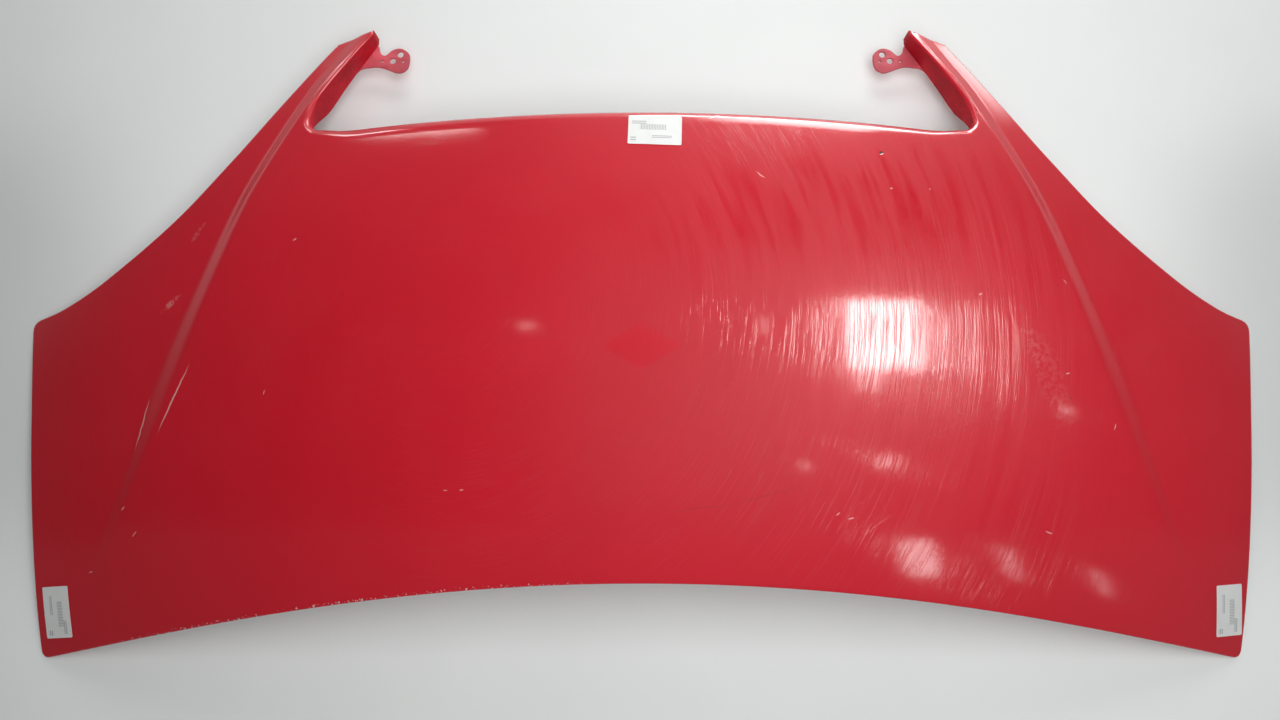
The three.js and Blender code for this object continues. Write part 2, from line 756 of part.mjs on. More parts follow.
function striker() {
  const top = -SHEET / 2 - SEAT_GAP;
  const base = prism(rectangle(STRIKER_PLATE, STRIKER_PLATE_CORNER), top - PLATE, top, boltHoles());
  const half = STRIKER_WIDTH / 2;
  const low = top - STRIKER_DROP;
  const turn = steps(0, 1, 8).map((t) => {
    const angle = Math.PI * (1 + t);
    return new THREE.Vector3(half * Math.cos(angle), 0, low + half + half * Math.sin(angle));
  });
  const line = [new THREE.Vector3(-half, 0, top - PLATE / 2), new THREE.Vector3(-half, 0, low + half),
    ...turn, new THREE.Vector3(half, 0, top - PLATE / 2)];
  const section = new THREE.Shape(ring(0, 0, STRIKER_ROD, 10));
  const curve = new THREE.CatmullRomCurve3(line, false, 'centripetal');
  const loop = new THREE.ExtrudeGeometry(section, { steps: 24, extrudePath: curve });
  return toGeometry(toSolid(base).add(toSolid(loop)));
}

function hexagon(across) {
  return ring(0, 0, across * 2 / Math.sqrt(3), 6);
}

function strikerBolt() {
  const top = -SHEET / 2 - SEAT_GAP - PLATE - GAP;
  const head = prism(hexagon(HEX_ACROSS), top - BOLT_HEAD_HEIGHT, top);
  const shank = cylinder(BOLT, top - 1, top + BOLT_LENGTH, 16);
  return toGeometry(toSolid(head).add(toSolid(shank)));
}

function strikerNut() {
  const bottom = SHEET / 2 + GAP + PLATE + GAP;
  return prism(hexagon(HEX_ACROSS), bottom, bottom + NUT_HEIGHT, [circle(0, 0, BOLT + 2 * GAP)]);
}

function turned(profile, sides = 24) {
  const points = profile.map(([r, z]) => new THREE.Vector2(r, z));
  return new THREE.LatheGeometry(points, sides).rotateX(Math.PI / 2);
}

function buffer() {
  const top = -SHEET / 2 - SEAT_GAP;
  const low = top - BUFFER_HEIGHT;
  const [flange, stem] = [BUFFER_DIAMETER / 2, BUFFER_STEM / 2];
  return turned([
    [0, low], [stem - BUFFER_CHAMFER, low], [stem, low + BUFFER_CHAMFER],
    [stem, top - BUFFER_FLANGE - 1], [flange, top - BUFFER_FLANGE], [flange, top], [0, top],
  ]);
}

function propSocket() {
  const top = -SHEET / 2 - 2 * GAP;
  const low = top - PROP_SOCKET_THICKNESS;
  const [flange, neck, bore] = [PROP_SOCKET_FLANGE / 2, PROP_SOCKET_NECK / 2, PROP_SOCKET_BORE / 2];
  return turned([
    [bore, low], [flange - 1, low], [flange, low + 1], [flange, top], [neck, top],
    [neck, top + PROP_SOCKET_DEPTH], [bore, top + PROP_SOCKET_DEPTH], [bore, low],
  ]);
}

function label({ x, y, angle }, along, across) {
  const columns = 6;
  const rows = 3;
  const lift = SHEET / 2 + LABEL_GAP + LABEL_THICKNESS / 2;
  const net = new Net();
  const turn = THREE.MathUtils.degToRad(angle);
  const vs = [0, ...steps(0, 1, rows)];
  const us = [0, ...steps(0, 1, columns)];
  net.addRows(vs.map((v) => us.map((u) => {
    const [right, up] = [(u - 0.5) * along, (v - 0.5) * across];
    const px = x + right * Math.cos(turn) - up * Math.sin(turn);
    const py = y + right * Math.sin(turn) + up * Math.cos(turn);
    return new THREE.Vector3(px, py, skinZ(px, py)).addScaledVector(normalAt(skinZ, px, py), lift);
  })));
  return net.thickened(LABEL_THICKNESS);
}

function masticPad() {
  const bottom = -SEAT_DEPTH + SHEET / 2 + PAD_CLEARANCE;
  const top = -SHEET / 2 - PAD_CLEARANCE;
  return prism(rectangle([PAD_WIDTH, PAD_LENGTH], PAD_CORNER), bottom, top);
}

// Assembly

const bonnet = new THREE.Group();

function addPiece(name, geometry, material, parent = bonnet) {
  const mesh = new THREE.Mesh(geometry, material);
  mesh.name = name;
  parent.add(mesh);
  return mesh;
}

addPiece('outer_skin', outerSkin(), paint);
addPiece('inner_panel', innerPanel(), paint);
addPiece('hinge_plate_left', hingePlate(1), paint);
addPiece('hinge_plate_right', hingePlate(-1), paint);

bonnet.add(latchFrame);
addPiece('latch_reinforcement', latchPlate(), paint, latchFrame);
addPiece('striker', striker(), zinc, latchFrame);
for (const [side, name] of [[1, 'left'], [-1, 'right']]) {
  const bolt = addPiece(`striker_bolt_${name}`, strikerBolt(), zinc, latchFrame);
  const nut = addPiece(`striker_nut_${name}`, strikerNut(), zinc, latchFrame);
  for (const piece of [bolt, nut]) piece.position.x = side * STRIKER_BOLT_SPREAD / 2;
  const corner = seatFrame(channelZ, side * BUFFER_AT[0], BUFFER_AT[1]);
  bonnet.add(corner);
  addPiece(`rubber_buffer_${name}`, buffer(), rubber, corner);
}

bonnet.add(propFrame);
addPiece('prop_rod_socket', propSocket(), plastic, propFrame);

addPiece('label_rear', label(LABEL_REAR, LABEL_LENGTH, LABEL_WIDTH), paper);
addPiece('label_front_left', label(LABEL_FRONT_LEFT, LABEL_WIDTH, LABEL_LENGTH), paper);
addPiece('label_front_right', label(LABEL_FRONT_RIGHT, LABEL_WIDTH, LABEL_LENGTH), paper);

allOpenings().forEach((corners, i) => {
  const loop = insetCorners(corners, OPENING_WALL_RUN + OPENING_FLANGE / 2 + 1);
  const middle = loop[1].clone().lerp(loop[2], 0.5);
  const frame = seatFrame(crownZ, middle.x, middle.y);
  bonnet.add(frame);
  addPiece(`mastic_pad_${i + 1}`, masticPad(), mastic, frame);
});

// The origin is under the middle of the whole bonnet, on the surface that it lies on
bonnet.updateMatrixWorld(true);
const extent = new THREE.Box3().setFromObject(bonnet, true);
const middle = extent.getCenter(new THREE.Vector3());
bonnet.position.set(-middle.x, -middle.y, -extent.min.z);

export default bonnet;
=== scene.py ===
import math
import bmesh
import bpy
import numpy as np
from mathutils import Matrix, Vector
from mathutils.geometry import delaunay_2d_cdt


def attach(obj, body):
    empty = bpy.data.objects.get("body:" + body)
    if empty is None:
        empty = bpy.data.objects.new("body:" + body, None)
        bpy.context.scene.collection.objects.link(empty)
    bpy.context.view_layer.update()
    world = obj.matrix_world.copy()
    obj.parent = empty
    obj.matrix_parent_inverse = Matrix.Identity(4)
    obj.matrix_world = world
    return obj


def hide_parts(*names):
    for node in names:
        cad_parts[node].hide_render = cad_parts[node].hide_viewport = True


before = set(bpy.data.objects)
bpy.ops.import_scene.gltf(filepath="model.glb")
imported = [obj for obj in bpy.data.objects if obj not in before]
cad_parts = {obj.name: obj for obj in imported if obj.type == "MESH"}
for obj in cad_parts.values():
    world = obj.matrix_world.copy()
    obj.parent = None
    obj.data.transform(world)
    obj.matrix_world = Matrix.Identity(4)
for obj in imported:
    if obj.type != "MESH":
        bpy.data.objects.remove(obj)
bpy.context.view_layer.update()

# A car bonnet, lying crown up. Sizes are the part's own, in millimetres, in its plan frame:
# y runs from the front to the windscreen and x to the car's left. place() gives metres in the
# shared frame. One half is made, for x above 0, and mirrored.

MIDDLE_Y = 380.748
BASE_Z = 1.555

CROWN_HEIGHT = 165
CROWN_PEAK_Y = 350
CROWN_RADIUS = 1060
SIDE_DROP_FRONT = 117
SIDE_DROP_SHOULDER = 155.5
SIDE_DROP_TIP = 172.5
CORNER_X = 707
FRONT_ARCH = 101
FRONT_FLATNESS = 0.2
SHOULDER = (748, 399)
CORNER_ROUND = 10
REAR_EDGE_Y = 624
REAR_EDGE_SAG = 12
NOTCH_HALF_WIDTH = 399
NOTCH_CORNER_RADIUS = 18
TIP_INNER = (331, 751)
TIP_OUTER = (373, 736)
TIP_ROUND = 2.5
SIDE_BOW = 3
WING_LINE = [[437, 650], [486, 587], [552, 515], [640, 447], [700, 414]]
HORN_LINE = [[655, 394], [683, 378], [710, 360]]
SWAGE_X = [[0, 668], [117, 623], [213, 583], [328, 541], [431, 502], [534, 463],
           [605, 428.5], [660, 400], [685, 386], [711, 368.5], [752, 344]]
SWAGE_HALF_WIDTH = [[0, 5], [113, 6], [233, 8], [296, 12], [433, 9], [603, 6.5], [753, 5.5]]
SWAGE_STEP = [[60, 0], [113, 1], [233, 4.5], [303, 6.4], [433, 5], [603, 3.8], [753, 3]]
SWAGE_SOFTNESS = 0.3
SHEET = 0.8
GAP = 0.3
HEM_RETURN = 8
HEM_BAND = 12
CHANNEL_TOE = 27
CHANNEL_DEPTH = 20
CHANNEL_SIDE_DEPTH = 9
REAR_ROLL_RADIUS = 12
ROLL_FADE = (NOTCH_HALF_WIDTH - 70, NOTCH_HALF_WIDTH - 8)
WALL_FOLD = (5.5, 3.6)
FOLD_RUN = (630, 745)
UPTURN = 8
HINGE_SEAT_Z = 28
OPENINGS = [
    [[40, 235], [165, 225], [172, 545], [40, 560]],
    [[218, 205], [330, 185], [362, 520], [225, 540]],
    [[385, 165], [495, 135], [478, 420], [415, 500]],
    [[606, 215], [686, 206], [694, 345], [568, 352]],
]
OPENING_RADIUS = 34
OPENING_WALL_RUN = 7
OPENING_FLANGE = 11
SEAT_DEPTH = 6
SPLIT_X = NOTCH_HALF_WIDTH - 7

# The nets: how far apart their points lie, the lengths that set how many rows and columns they
# have, and the steps of their rolls, bands and rounded tips
SPACING = 8
SIDE_RUN, WING_RUN, HORN_RUN = 362, 350, 150
DECK_RUN, FLANK_RUN, MIDDLE_RUN, ROLL_RUN = 230, 210, 330, 52
ROLL_STEPS = 8
BAND_STEPS = 12
TIP_STEPS = 3
SMOOTH_ANGLE = 35
TINY = 1e-12

# Curves and heights

def smoothstep(value, low, high):
    t = np.clip((value - low) / (high - low), 0, 1)
    return t * t * (3 - 2 * t)


def soft_clamp(t, e):
    middle = np.clip(t, 0, 1)
    low = (t + e) ** 2 / (4 * e)
    high = 1 - (1 - t + e) ** 2 / (4 * e)
    return np.where(abs(t) < e, low, np.where(abs(1 - t) < e, high, middle))


def through(points):
    xs, ys = np.array(points, float).T
    slopes = np.diff(ys) / np.diff(xs)
    middle = (ys[2:] - ys[:-2]) / (xs[2:] - xs[:-2])
    m = np.concatenate([slopes[:1], middle, slopes[-1:]])

    def curve(at):
        at = np.asarray(at, float)
        i = np.clip(np.searchsorted(xs, at) - 1, 0, len(xs) - 2)
        span = xs[i + 1] - xs[i]
        ratio = (at - xs[i]) / span
        s = np.clip(ratio, 0, 1)
        eased = s * s * (3 - 2 * s)
        m0, m1 = m[i] * span, m[i + 1] * span
        inside = ys[i] * (1 - eased) + ys[i + 1] * eased + m0 * s * (1 - s) ** 2 - m1 * s * s * (1 - s)
        return inside + (ratio - s) * np.where(s > 0, m1, m0)

    return curve


def pair(x, y):
    x, y = np.broadcast_arrays(np.asarray(x, float), np.asarray(y, float))
    return np.stack([x, y], -1)


NOTCH_TOP = REAR_EDGE_Y - REAR_EDGE_SAG + NOTCH_CORNER_RADIUS
swage_x = through(SWAGE_X)
swage_half_width = through(SWAGE_HALF_WIDTH)
swage_step = through(SWAGE_STEP)
horn_x = through([[NOTCH_TOP, NOTCH_HALF_WIDTH], *HORN_LINE, TIP_INNER[::-1]])
wing_y = through([TIP_OUTER, *WING_LINE, SHOULDER])


def front_edge(x):
    s = (np.asarray(x, float) / CORNER_X) ** 2
    return pair(x, FRONT_ARCH * (1 - (1 + FRONT_FLATNESS) * s + FRONT_FLATNESS * s * s))


def side_edge(y):
    s = np.asarray(y, float) / SHOULDER[1]
    return pair(CORNER_X + (SHOULDER[0] - CORNER_X) * s - 4 * SIDE_BOW * s * (1 - s), y)


def wing_edge(x):
    return pair(x, wing_y(x))


def rear_edge_y(x):
    return REAR_EDGE_Y - REAR_EDGE_SAG * (x / (NOTCH_HALF_WIDTH - NOTCH_CORNER_RADIUS)) ** 2


def notch_corner(turn):
    angle = -np.pi / 2 * (1 - np.asarray(turn, float))
    return pair(NOTCH_HALF_WIDTH + NOTCH_CORNER_RADIUS * (np.cos(angle) - 1),
                NOTCH_TOP + NOTCH_CORNER_RADIUS * np.sin(angle))


def bezier(a, b, c, t):
    t = np.asarray(t, float)[:, None]
    return (1 - t) ** 2 * a + 2 * t * (1 - t) * b + t * t * c


def side_drop(y):
    shoulder = y / SHOULDER[1]
    tip = y / TIP_INNER[1]
    share = SHOULDER[1] / TIP_INNER[1]
    return (SIDE_DROP_FRONT * (1 - shoulder) * (1 - tip)
            + SIDE_DROP_SHOULDER * shoulder * (1 - tip) / (1 - share)
            + SIDE_DROP_TIP * tip * (1 - shoulder) / (1 - 1 / share))


def crown_z(x, y):
    half_width = swage_half_width(y)
    crease = (abs(x) - swage_x(y) + half_width) / (2 * half_width)
    step = np.maximum(swage_step(y), 0) * soft_clamp(crease, SWAGE_SOFTNESS)
    return (CROWN_HEIGHT - (y - CROWN_PEAK_Y) ** 2 / (2 * CROWN_RADIUS)
            - side_drop(y) * (x / SHOULDER[0]) ** 2 - step)


def rear_roll(x, y):
    on_deck = (y < notch_corner(0.5)[1]) | (abs(x) < TIP_INNER[0] - 10)
    return np.where(on_deck, REAR_ROLL_RADIUS * (1 - smoothstep(abs(x), *ROLL_FADE)), 0)


def skin_z(x, y):
    radius = rear_roll(x, y)
    inset = np.clip(rear_edge_y(x) - y, 0, radius)
    return crown_z(x, y) - (radius - np.sqrt(radius ** 2 - (radius - inset) ** 2))


def channel_z(x, y):
    depth = CHANNEL_DEPTH + (CHANNEL_SIDE_DEPTH - CHANNEL_DEPTH) * smoothstep(abs(x), 300, 700)
    floor = smoothstep(y, 625, 668)
    return (crown_z(x, y) - depth) * (1 - floor) + (HINGE_SEAT_Z + SHEET / 2) * floor


def normals_of(height, x, y):
    reach = 0.5
    normal = np.stack([height(x - reach, y) - height(x + reach, y),
                       height(x, y - reach) - height(x, y + reach),
                       np.full(np.shape(x), 2 * reach)], -1)
    return normal / np.linalg.norm(normal, axis=-1, keepdims=True)


# The plan: rows of points that the skin and the inner panel share

def steps(low, high, count):
    return low + (high - low) * np.arange(1, count + 1) / count


def shares(a, b):
    def along(points):
        length = np.concatenate([[0], np.cumsum(np.linalg.norm(np.diff(points, axis=0), axis=1))])
        return length / length[-1]
    return (along(a) + along(b)) / 2


def patch(bottom, top, left, right):
    u = shares(bottom, top)[None, :, None]
    v = shares(left, right)[:, None, None]
    return (bottom * (1 - v) + top * v + left[:, None] * (1 - u) + right[:, None] * u
            - bottom[0] * (1 - u) * (1 - v) - bottom[-1] * u * (1 - v)
            - top[0] * (1 - u) * v - top[-1] * u * v)


LIFTS = np.array([0, 2.5, 5, 8, 12, 16, 20, 24, 27.0])
CORNER_STEPS = 4


def tip_middles():
    tip = np.array([TIP_INNER, TIP_OUTER], float)
    along = (tip[1] - tip[0]) / np.linalg.norm(tip[1] - tip[0])
    horn_start = pair(horn_x(TIP_INNER[1] - TIP_ROUND), TIP_INNER[1] - TIP_ROUND)
    wing_start = wing_edge(TIP_OUTER[0] + TIP_ROUND / 2)
    return horn_start, tip[0], tip[0] + along * TIP_ROUND, tip[1] - along * TIP_ROUND, tip[1], wing_start


def plan_grid():
    """The points of the part inside SPLIT_X and of the part outside it, row by row."""
    def count(length):
        return max(2, round(length / SPACING))

    halves = np.linspace(0.5, 1, CORNER_STEPS)
    horn_start, inner, inner_end, outer_start, outer, wing_start = tip_middles()
    front, notch = front_edge(SPLIT_X), notch_corner(0.5)
    side_n, wing_n, horn_n = count(SIDE_RUN), count(WING_RUN), count(HORN_RUN)
    roll = REAR_ROLL_RADIUS * (1 - np.cos(np.linspace(np.pi / 2, 0, ROLL_STEPS + 1)))
    main_n = side_n + CORNER_STEPS + wing_n - (len(roll) - 1)

    def insets(y0):
        deck_y = steps(y0 + LIFTS[-1], notch[1] - roll[0], main_n)
        return np.concatenate([y0 + LIFTS, deck_y, notch[1] - roll[1:]])

    split_y = insets(front[1])
    split = pair(front[0] + (notch[0] - front[0]) * (split_y - front[1]) / (notch[1] - front[1]), split_y)
    horn_y = steps(NOTCH_TOP, horn_start[1], horn_n - CORNER_STEPS - TIP_STEPS)
    left = np.concatenate([
        split,
        notch_corner(steps(0.5, 1, CORNER_STEPS)),
        pair(horn_x(horn_y), horn_y),
        bezier(horn_start, inner, inner_end, steps(0, 0.5, TIP_STEPS)),
    ])
    corner = np.array([CORNER_X, 0.0])
    first = front_edge(CORNER_X - CORNER_ROUND)
    shoulder = [side_edge(SHOULDER[1] - CORNER_ROUND), np.array(SHOULDER, float),
                wing_edge(SHOULDER[0] - CORNER_ROUND)]
    notch_x = through([[-y, x] for x, y in WING_LINE])(-notch[1])
    right = np.concatenate([
        bezier(first, corner, side_edge(CORNER_ROUND), halves),
        side_edge(LIFTS[4:]),
        side_edge(steps(LIFTS[-1], SHOULDER[1] - CORNER_ROUND, side_n)),
        bezier(*shoulder, steps(0, 1, CORNER_STEPS)),
        wing_edge(steps(SHOULDER[0] - CORNER_ROUND, notch_x, wing_n)),
        wing_edge(steps(notch_x, wing_start[0], horn_n - TIP_STEPS)),
        bezier(wing_start, outer, outer_start, steps(0, 0.5, TIP_STEPS)),
    ])

    top_row = len(left) - 1

    def crease(side):
        x = np.array(left[:, 0])
        y = np.array(left[:, 1])
        for _ in range(20):
            x = swage_x(y) + side * swage_half_width(y)
            share = (x - left[:, 0]) / (right[:, 0] - left[:, 0])
            y = left[:, 1] + (right[:, 1] - left[:, 1]) * share
            y[:len(LIFTS)] = front_edge(x[:len(LIFTS)])[:, 1] + LIFTS
        return pair(x, y)

    reach = 1 + 2 * SWAGE_SOFTNESS
    inner_crease, outer_crease = crease(-reach), crease(reach)

    def front_between(a, b, n):
        return front_edge(np.linspace(a[0], b[0], n + 1))

    deck_n = count(DECK_RUN)
    straight = np.linspace(left[top_row], inner_crease[top_row], deck_n + 1)
    deck = patch(front_between(left[0], inner_crease[0], deck_n), straight, left, inner_crease)
    band_u = np.linspace(0, 1, BAND_STEPS + 1)[None, :, None]
    band = inner_crease[:, None] * (1 - band_u) + outer_crease[:, None] * band_u
    band[0] = front_edge(band[0, :, 0])
    width = np.linalg.norm(right - outer_crease, axis=1)[:, None]
    edge = np.minimum(1, 0.75 * width / CHANNEL_TOE) * LIFTS[::-1][None, :]
    inner_n = count(FLANK_RUN)
    flats = (width - edge[:, :1]) * (np.arange(inner_n) / inner_n)[None, :]
    distance = np.concatenate([flats, width - edge], axis=1)
    share = (distance / width)[..., None]
    flank = outer_crease[:, None] * (1 - share) + right[:, None] * share
    on_front = flank[0, :, 0] < first[0]
    flank[0, on_front] = front_edge(flank[0, on_front, 0])
    rounds = np.where(~on_front)[0]
    flank[0, rounds] = bezier(first, corner, side_edge(CORNER_ROUND), np.linspace(0, 0.5, len(rounds) + 1)[1:])
    wing = np.concatenate([deck, band[:, 1:], flank[:, 1:]], axis=1)

    columns = np.concatenate([np.linspace(0, ROLL_FADE[0], count(MIDDLE_RUN)),
                              steps(ROLL_FADE[0], notch_corner(0)[0], count(ROLL_RUN))])
    arc = notch_corner(steps(0, 0.5, CORNER_STEPS))
    bottom = front_edge(np.concatenate([columns, steps(columns[-1], SPLIT_X, CORNER_STEPS)]))
    top = np.concatenate([pair(columns, rear_edge_y(columns)), arc])
    centre_y = np.concatenate([FRONT_ARCH + LIFTS,
                               steps(FRONT_ARCH + LIFTS[-1], REAR_EDGE_Y - roll[0], main_n),
                               REAR_EDGE_Y - roll[1:]])
    main = patch(bottom, top, pair(0, centre_y), split)
    return main, wing


# Sheets: nets of points thickened to both sides

def place(points):
    return (np.asarray(points, float) - [0, MIDDLE_Y, BASE_Z]) / 1000


class Sheet:
    def __init__(self):
        self.points = []
        self.faces = []
        self.total = 0

    def add(self, points, faces):
        self.points.append(np.asarray(points, float).reshape(-1, 3))
        self.faces.append(np.asarray(faces) + self.total)
        self.total += len(self.points[-1])

    def add_rows(self, rows):
        n, m = rows.shape[:2]
        ids = np.arange(n * m).reshape(n, m)
        quads = np.stack([ids[:-1, :-1], ids[:-1, 1:], ids[1:, 1:], ids[1:, :-1]], -1).reshape(-1, 4)
        self.add(rows, quads)

    def mirrored(self):
        both = Sheet()
        for side in (1, -1):
            start = 0
            for points, faces in zip(self.points, self.faces):
                both.add(points * [side, 1, 1], (faces - start)[:, ::side])
                start += len(points)
        return both

    def merged(self):
        """Points within a two-hundredth of a millimetre become one, and faces without area go."""
        points = np.concatenate(self.points)
        keys = np.round(points * 200).astype(np.int64)
        _, first, inverse = np.unique(keys, axis=0, return_index=True, return_inverse=True)
        inverse = inverse.reshape(-1)
        faces = []
        for block in self.faces:
            for face in inverse[block].tolist():
                loop = [v for i, v in enumerate(face) if v != face[i - 1]]
                if len(set(loop)) == len(loop) and len(loop) > 2:
                    faces.append(loop)
        return points[first], faces


def vertex_normals(points, faces):
    sums = np.zeros_like(points)
    for size, (a, b, c, d) in ((3, (0, 1, 0, 2)), (4, (0, 2, 1, 3))):
        loops = np.array([f for f in faces if len(f) == size], int).reshape(-1, size)
        corners = points[loops]
        normal = np.cross(corners[:, b] - corners[:, a], corners[:, d] - corners[:, c])
        normal /= np.maximum(np.linalg.norm(normal, axis=1, keepdims=True), TINY)
        for k in range(size):
            before = corners[:, k - 1] - corners[:, k]
            after = corners[:, (k + 1) % size] - corners[:, k]
            lengths = np.linalg.norm(before, axis=1) * np.linalg.norm(after, axis=1)
            angle = np.arccos(np.clip((before * after).sum(1) / np.maximum(lengths, TINY), -1, 1))
            np.add.at(sums, loops[:, k], normal * angle[:, None])
    return sums / np.maximum(np.linalg.norm(sums, axis=1, keepdims=True), TINY)


def thickened(points, faces, thickness):
    normals = vertex_normals(points, faces)
    count = len(points)
    solid = np.concatenate([points + normals * thickness / 2, points - normals * thickness / 2])
    used = {(f[i - 1], f[i]) for f in faces for i in range(len(f))}
    rims = [(a, b) for a, b in used if (b, a) not in used]
    below = [[v + count for v in reversed(f)] for f in faces]
    bridges = [[b, a, a + count, b + count] for a, b in sorted(rims)]
    return solid, [*faces, *below, *bridges], (len(faces), len(below), len(bridges))


def new_object(name, data):
    made = bpy.data.objects.new(name, data)
    bpy.context.scene.collection.objects.link(made)
    return made


def make_mesh(name, points, faces, materials, indices=None):
    mesh = bpy.data.meshes.new(name)
    mesh.from_pydata(place(points).tolist(), [], faces)
    for material in materials:
        mesh.materials.append(material)
    if indices is not None:
        mesh.polygons.foreach_set("material_index", indices)
    mesh.shade_smooth()
    mesh.set_sharp_from_angle(angle=math.radians(SMOOTH_ANGLE))
    mesh.validate()
    mesh.update()
    return new_object(name, mesh)


def beyond(end, inner):
    """The point past a chain's end: mirrored from the middle plane, or straight on elsewhere."""
    return inner * [-1, 1] if abs(end[0]) < 1e-9 else 2 * end - inner


def chain_outward(points):
    around = np.concatenate([[beyond(*points[:2])], points, [beyond(*points[:-3:-1])]])
    ways = np.diff(around, axis=0)
    ways /= np.linalg.norm(ways, axis=1, keepdims=True)
    arriving, leaving = ways[:-1], ways[1:]
    cosine = (arriving * leaving).sum(1, keepdims=True)
    mitre = (arriving + leaving) / (1 + cosine)
    return np.stack([mitre[:, 1], -mitre[:, 0]], -1)


def lifted(plan, height):
    return np.concatenate([plan, height(plan[..., 0], plan[..., 1])[..., None]], -1)


# Outer skin

FOLD_STEPS = 8
TIGHT_BEND = 0.1
TIGHT_RETURN = 4


def hem_chain(main, wing):
    return np.concatenate([main[0, :-1], wing[0], wing[1:, -1]])


def wall_chain(main, wing):
    notch_row = len(main) - 1
    return np.concatenate([wing[-1, ::-1], wing[notch_row + 1:-1, 0][::-1], main[-1, ::-1]])


def hem_strip(chain):
    radius = (SHEET + 2 * GAP + SHEET) / 2
    out = chain_outward(chain)
    normal = normals_of(skin_z, chain[:, 0], chain[:, 1])
    side = np.concatenate([out, np.zeros((len(out), 1))], 1)
    side -= normal * (side * normal).sum(1, keepdims=True)
    side /= np.linalg.norm(side, axis=1, keepdims=True)
    base = lifted(chain, skin_z)
    fold = [base + side * radius * math.sin(turn) - normal * radius * (1 - math.cos(turn))
            for turn in np.linspace(0, math.pi, FOLD_STEPS + 1)]
    sharp = np.linalg.norm(out, axis=1)
    bend = np.abs(np.cross(out[:-1] / sharp[:-1, None], out[1:] / sharp[1:, None]))
    room = np.full(len(chain), float(HEM_RETURN))
    for i in np.where(bend > TIGHT_BEND)[0]:
        room[max(i - 6, 0):i + 8] = TIGHT_RETURN
    for _ in range(4):
        room[1:-1] = np.minimum(room[1:-1], (room[:-2] + room[2:]) / 2 + 0.6)
    returned = [fold[-1] - side * (room * share)[:, None] for share in (0.35, 0.7, 1)]
    return np.stack([*fold, *returned], 1)


def wall_reach(chain):
    on_deck = rear_roll(chain[:, 0], chain[:, 1]) / REAR_ROLL_RADIUS
    fold = WALL_FOLD[0] + (WALL_FOLD[1] - WALL_FOLD[0]) * smoothstep(chain[:, 1], *FOLD_RUN)
    return fold * (1 - on_deck)


def wall_strip(chain):
    out = chain_outward(chain)
    flat = out / np.linalg.norm(out, axis=1, keepdims=True)
    reach = wall_reach(chain)
    top = skin_z(chain[:, 0], chain[:, 1])
    near = 0.6
    back = chain - flat * near
    slope = np.where(reach > 0.2, (top - skin_z(back[:, 0], back[:, 1])) / near, 0)
    bottom = channel_z(chain[:, 0], chain[:, 1]) - SHEET / 2
    knee = np.clip(slope * reach, -3, 3)
    drop = np.maximum(reach * 1.1, 0.8)
    rows = []
    for t in np.linspace(0, 1, FOLD_STEPS + 1):
        sideways = (1 - (1 - t) ** 2) * reach
        down = 2 * t * (1 - t) * knee + t * t * (knee - drop)
        rows.append(np.concatenate([chain + out * sideways[:, None], (top + down)[:, None]], 1))
    foot = rows[-1][:, 2]
    plan = rows[-1][:, :2]
    for t in (0.25, 0.5, 0.75, 1):
        z = foot + (bottom - foot) * t
        rows.append(np.concatenate([plan, z[:, None]], 1))
    return np.stack(rows, 1)


def outer_skin():
    main, wing = plan_grid()
    sheet = Sheet()
    sheet.add_rows(lifted(main, skin_z))
    sheet.add_rows(lifted(wing, skin_z))
    hem = hem_strip(hem_chain(main, wing))
    wall = wall_strip(wall_chain(main, wing))
    sheet.add_rows(hem.transpose(1, 0, 2)[::-1])
    sheet.add_rows(wall.transpose(1, 0, 2)[::-1])
    return sheet.mirrored().merged()


# Inner panel: a sheet over the same plan, with walled openings under the skin

def rounded_outline(corners, radius, runs, per_corner):
    arcs = []
    for i, corner in enumerate(corners):
        before, after = corners[i - 1], corners[(i + 1) % len(corners)]
        start = corner + (before - corner) / np.linalg.norm(before - corner) * radius
        finish = corner + (after - corner) / np.linalg.norm(after - corner) * radius
        arcs.append(bezier(start, corner, finish, np.linspace(0, 1, per_corner + 1)))
    loop = []
    for i, arc in enumerate(arcs):
        loop.extend(arc)
        loop.extend(arc[-1] + (arcs[(i + 1) % len(arcs)][0] - arc[-1]) * k / runs[i] for k in range(1, runs[i]))
    return np.array(loop)


def inset_corners(corners, distance):
    result = []
    for i, corner in enumerate(corners):
        before = corner - corners[i - 1]
        after = corners[(i + 1) % len(corners)] - corner
        before, after = before / np.linalg.norm(before), after / np.linalg.norm(after)
        a, b = np.array([-before[1], before[0]]), np.array([-after[1], after[0]])
        result.append(corner + (a + b) * distance / (1 + a @ b))
    return np.array(result)


def opening_loop(corners, inset):
    corners = np.array(corners, float)
    lengths = np.linalg.norm(np.roll(corners, -1, axis=0) - corners, axis=1) - 2 * OPENING_RADIUS
    runs = [max(1, math.ceil(length / SPACING)) for length in lengths]
    return rounded_outline(inset_corners(corners, inset), OPENING_RADIUS - inset, runs, 8)


def inside(points, loop):
    x, y = points[:, 0], points[:, 1]
    result = np.zeros(len(points), bool)
    for (x0, y0), (x1, y1) in zip(loop, np.roll(loop, -1, axis=0)):
        crosses = (y0 > y) != (y1 > y)
        at = x0 + (y - y0) * (x1 - x0) / (y1 - y0 + TINY)
        result ^= crosses & (x < at)
    return result


def distance_to(points, line, closed=False):
    ends = np.roll(line, -1, axis=0) if closed else line[1:]
    starts = line if closed else line[:-1]
    nearest = np.full(len(points), 1e9)
    for a, b in zip(starts, ends):
        ab = b - a
        t = np.clip(((points - a) @ ab) / max(ab @ ab, TINY), 0, 1)
        nearest = np.minimum(nearest, np.linalg.norm(points - a - t[:, None] * ab, axis=1))
    return nearest


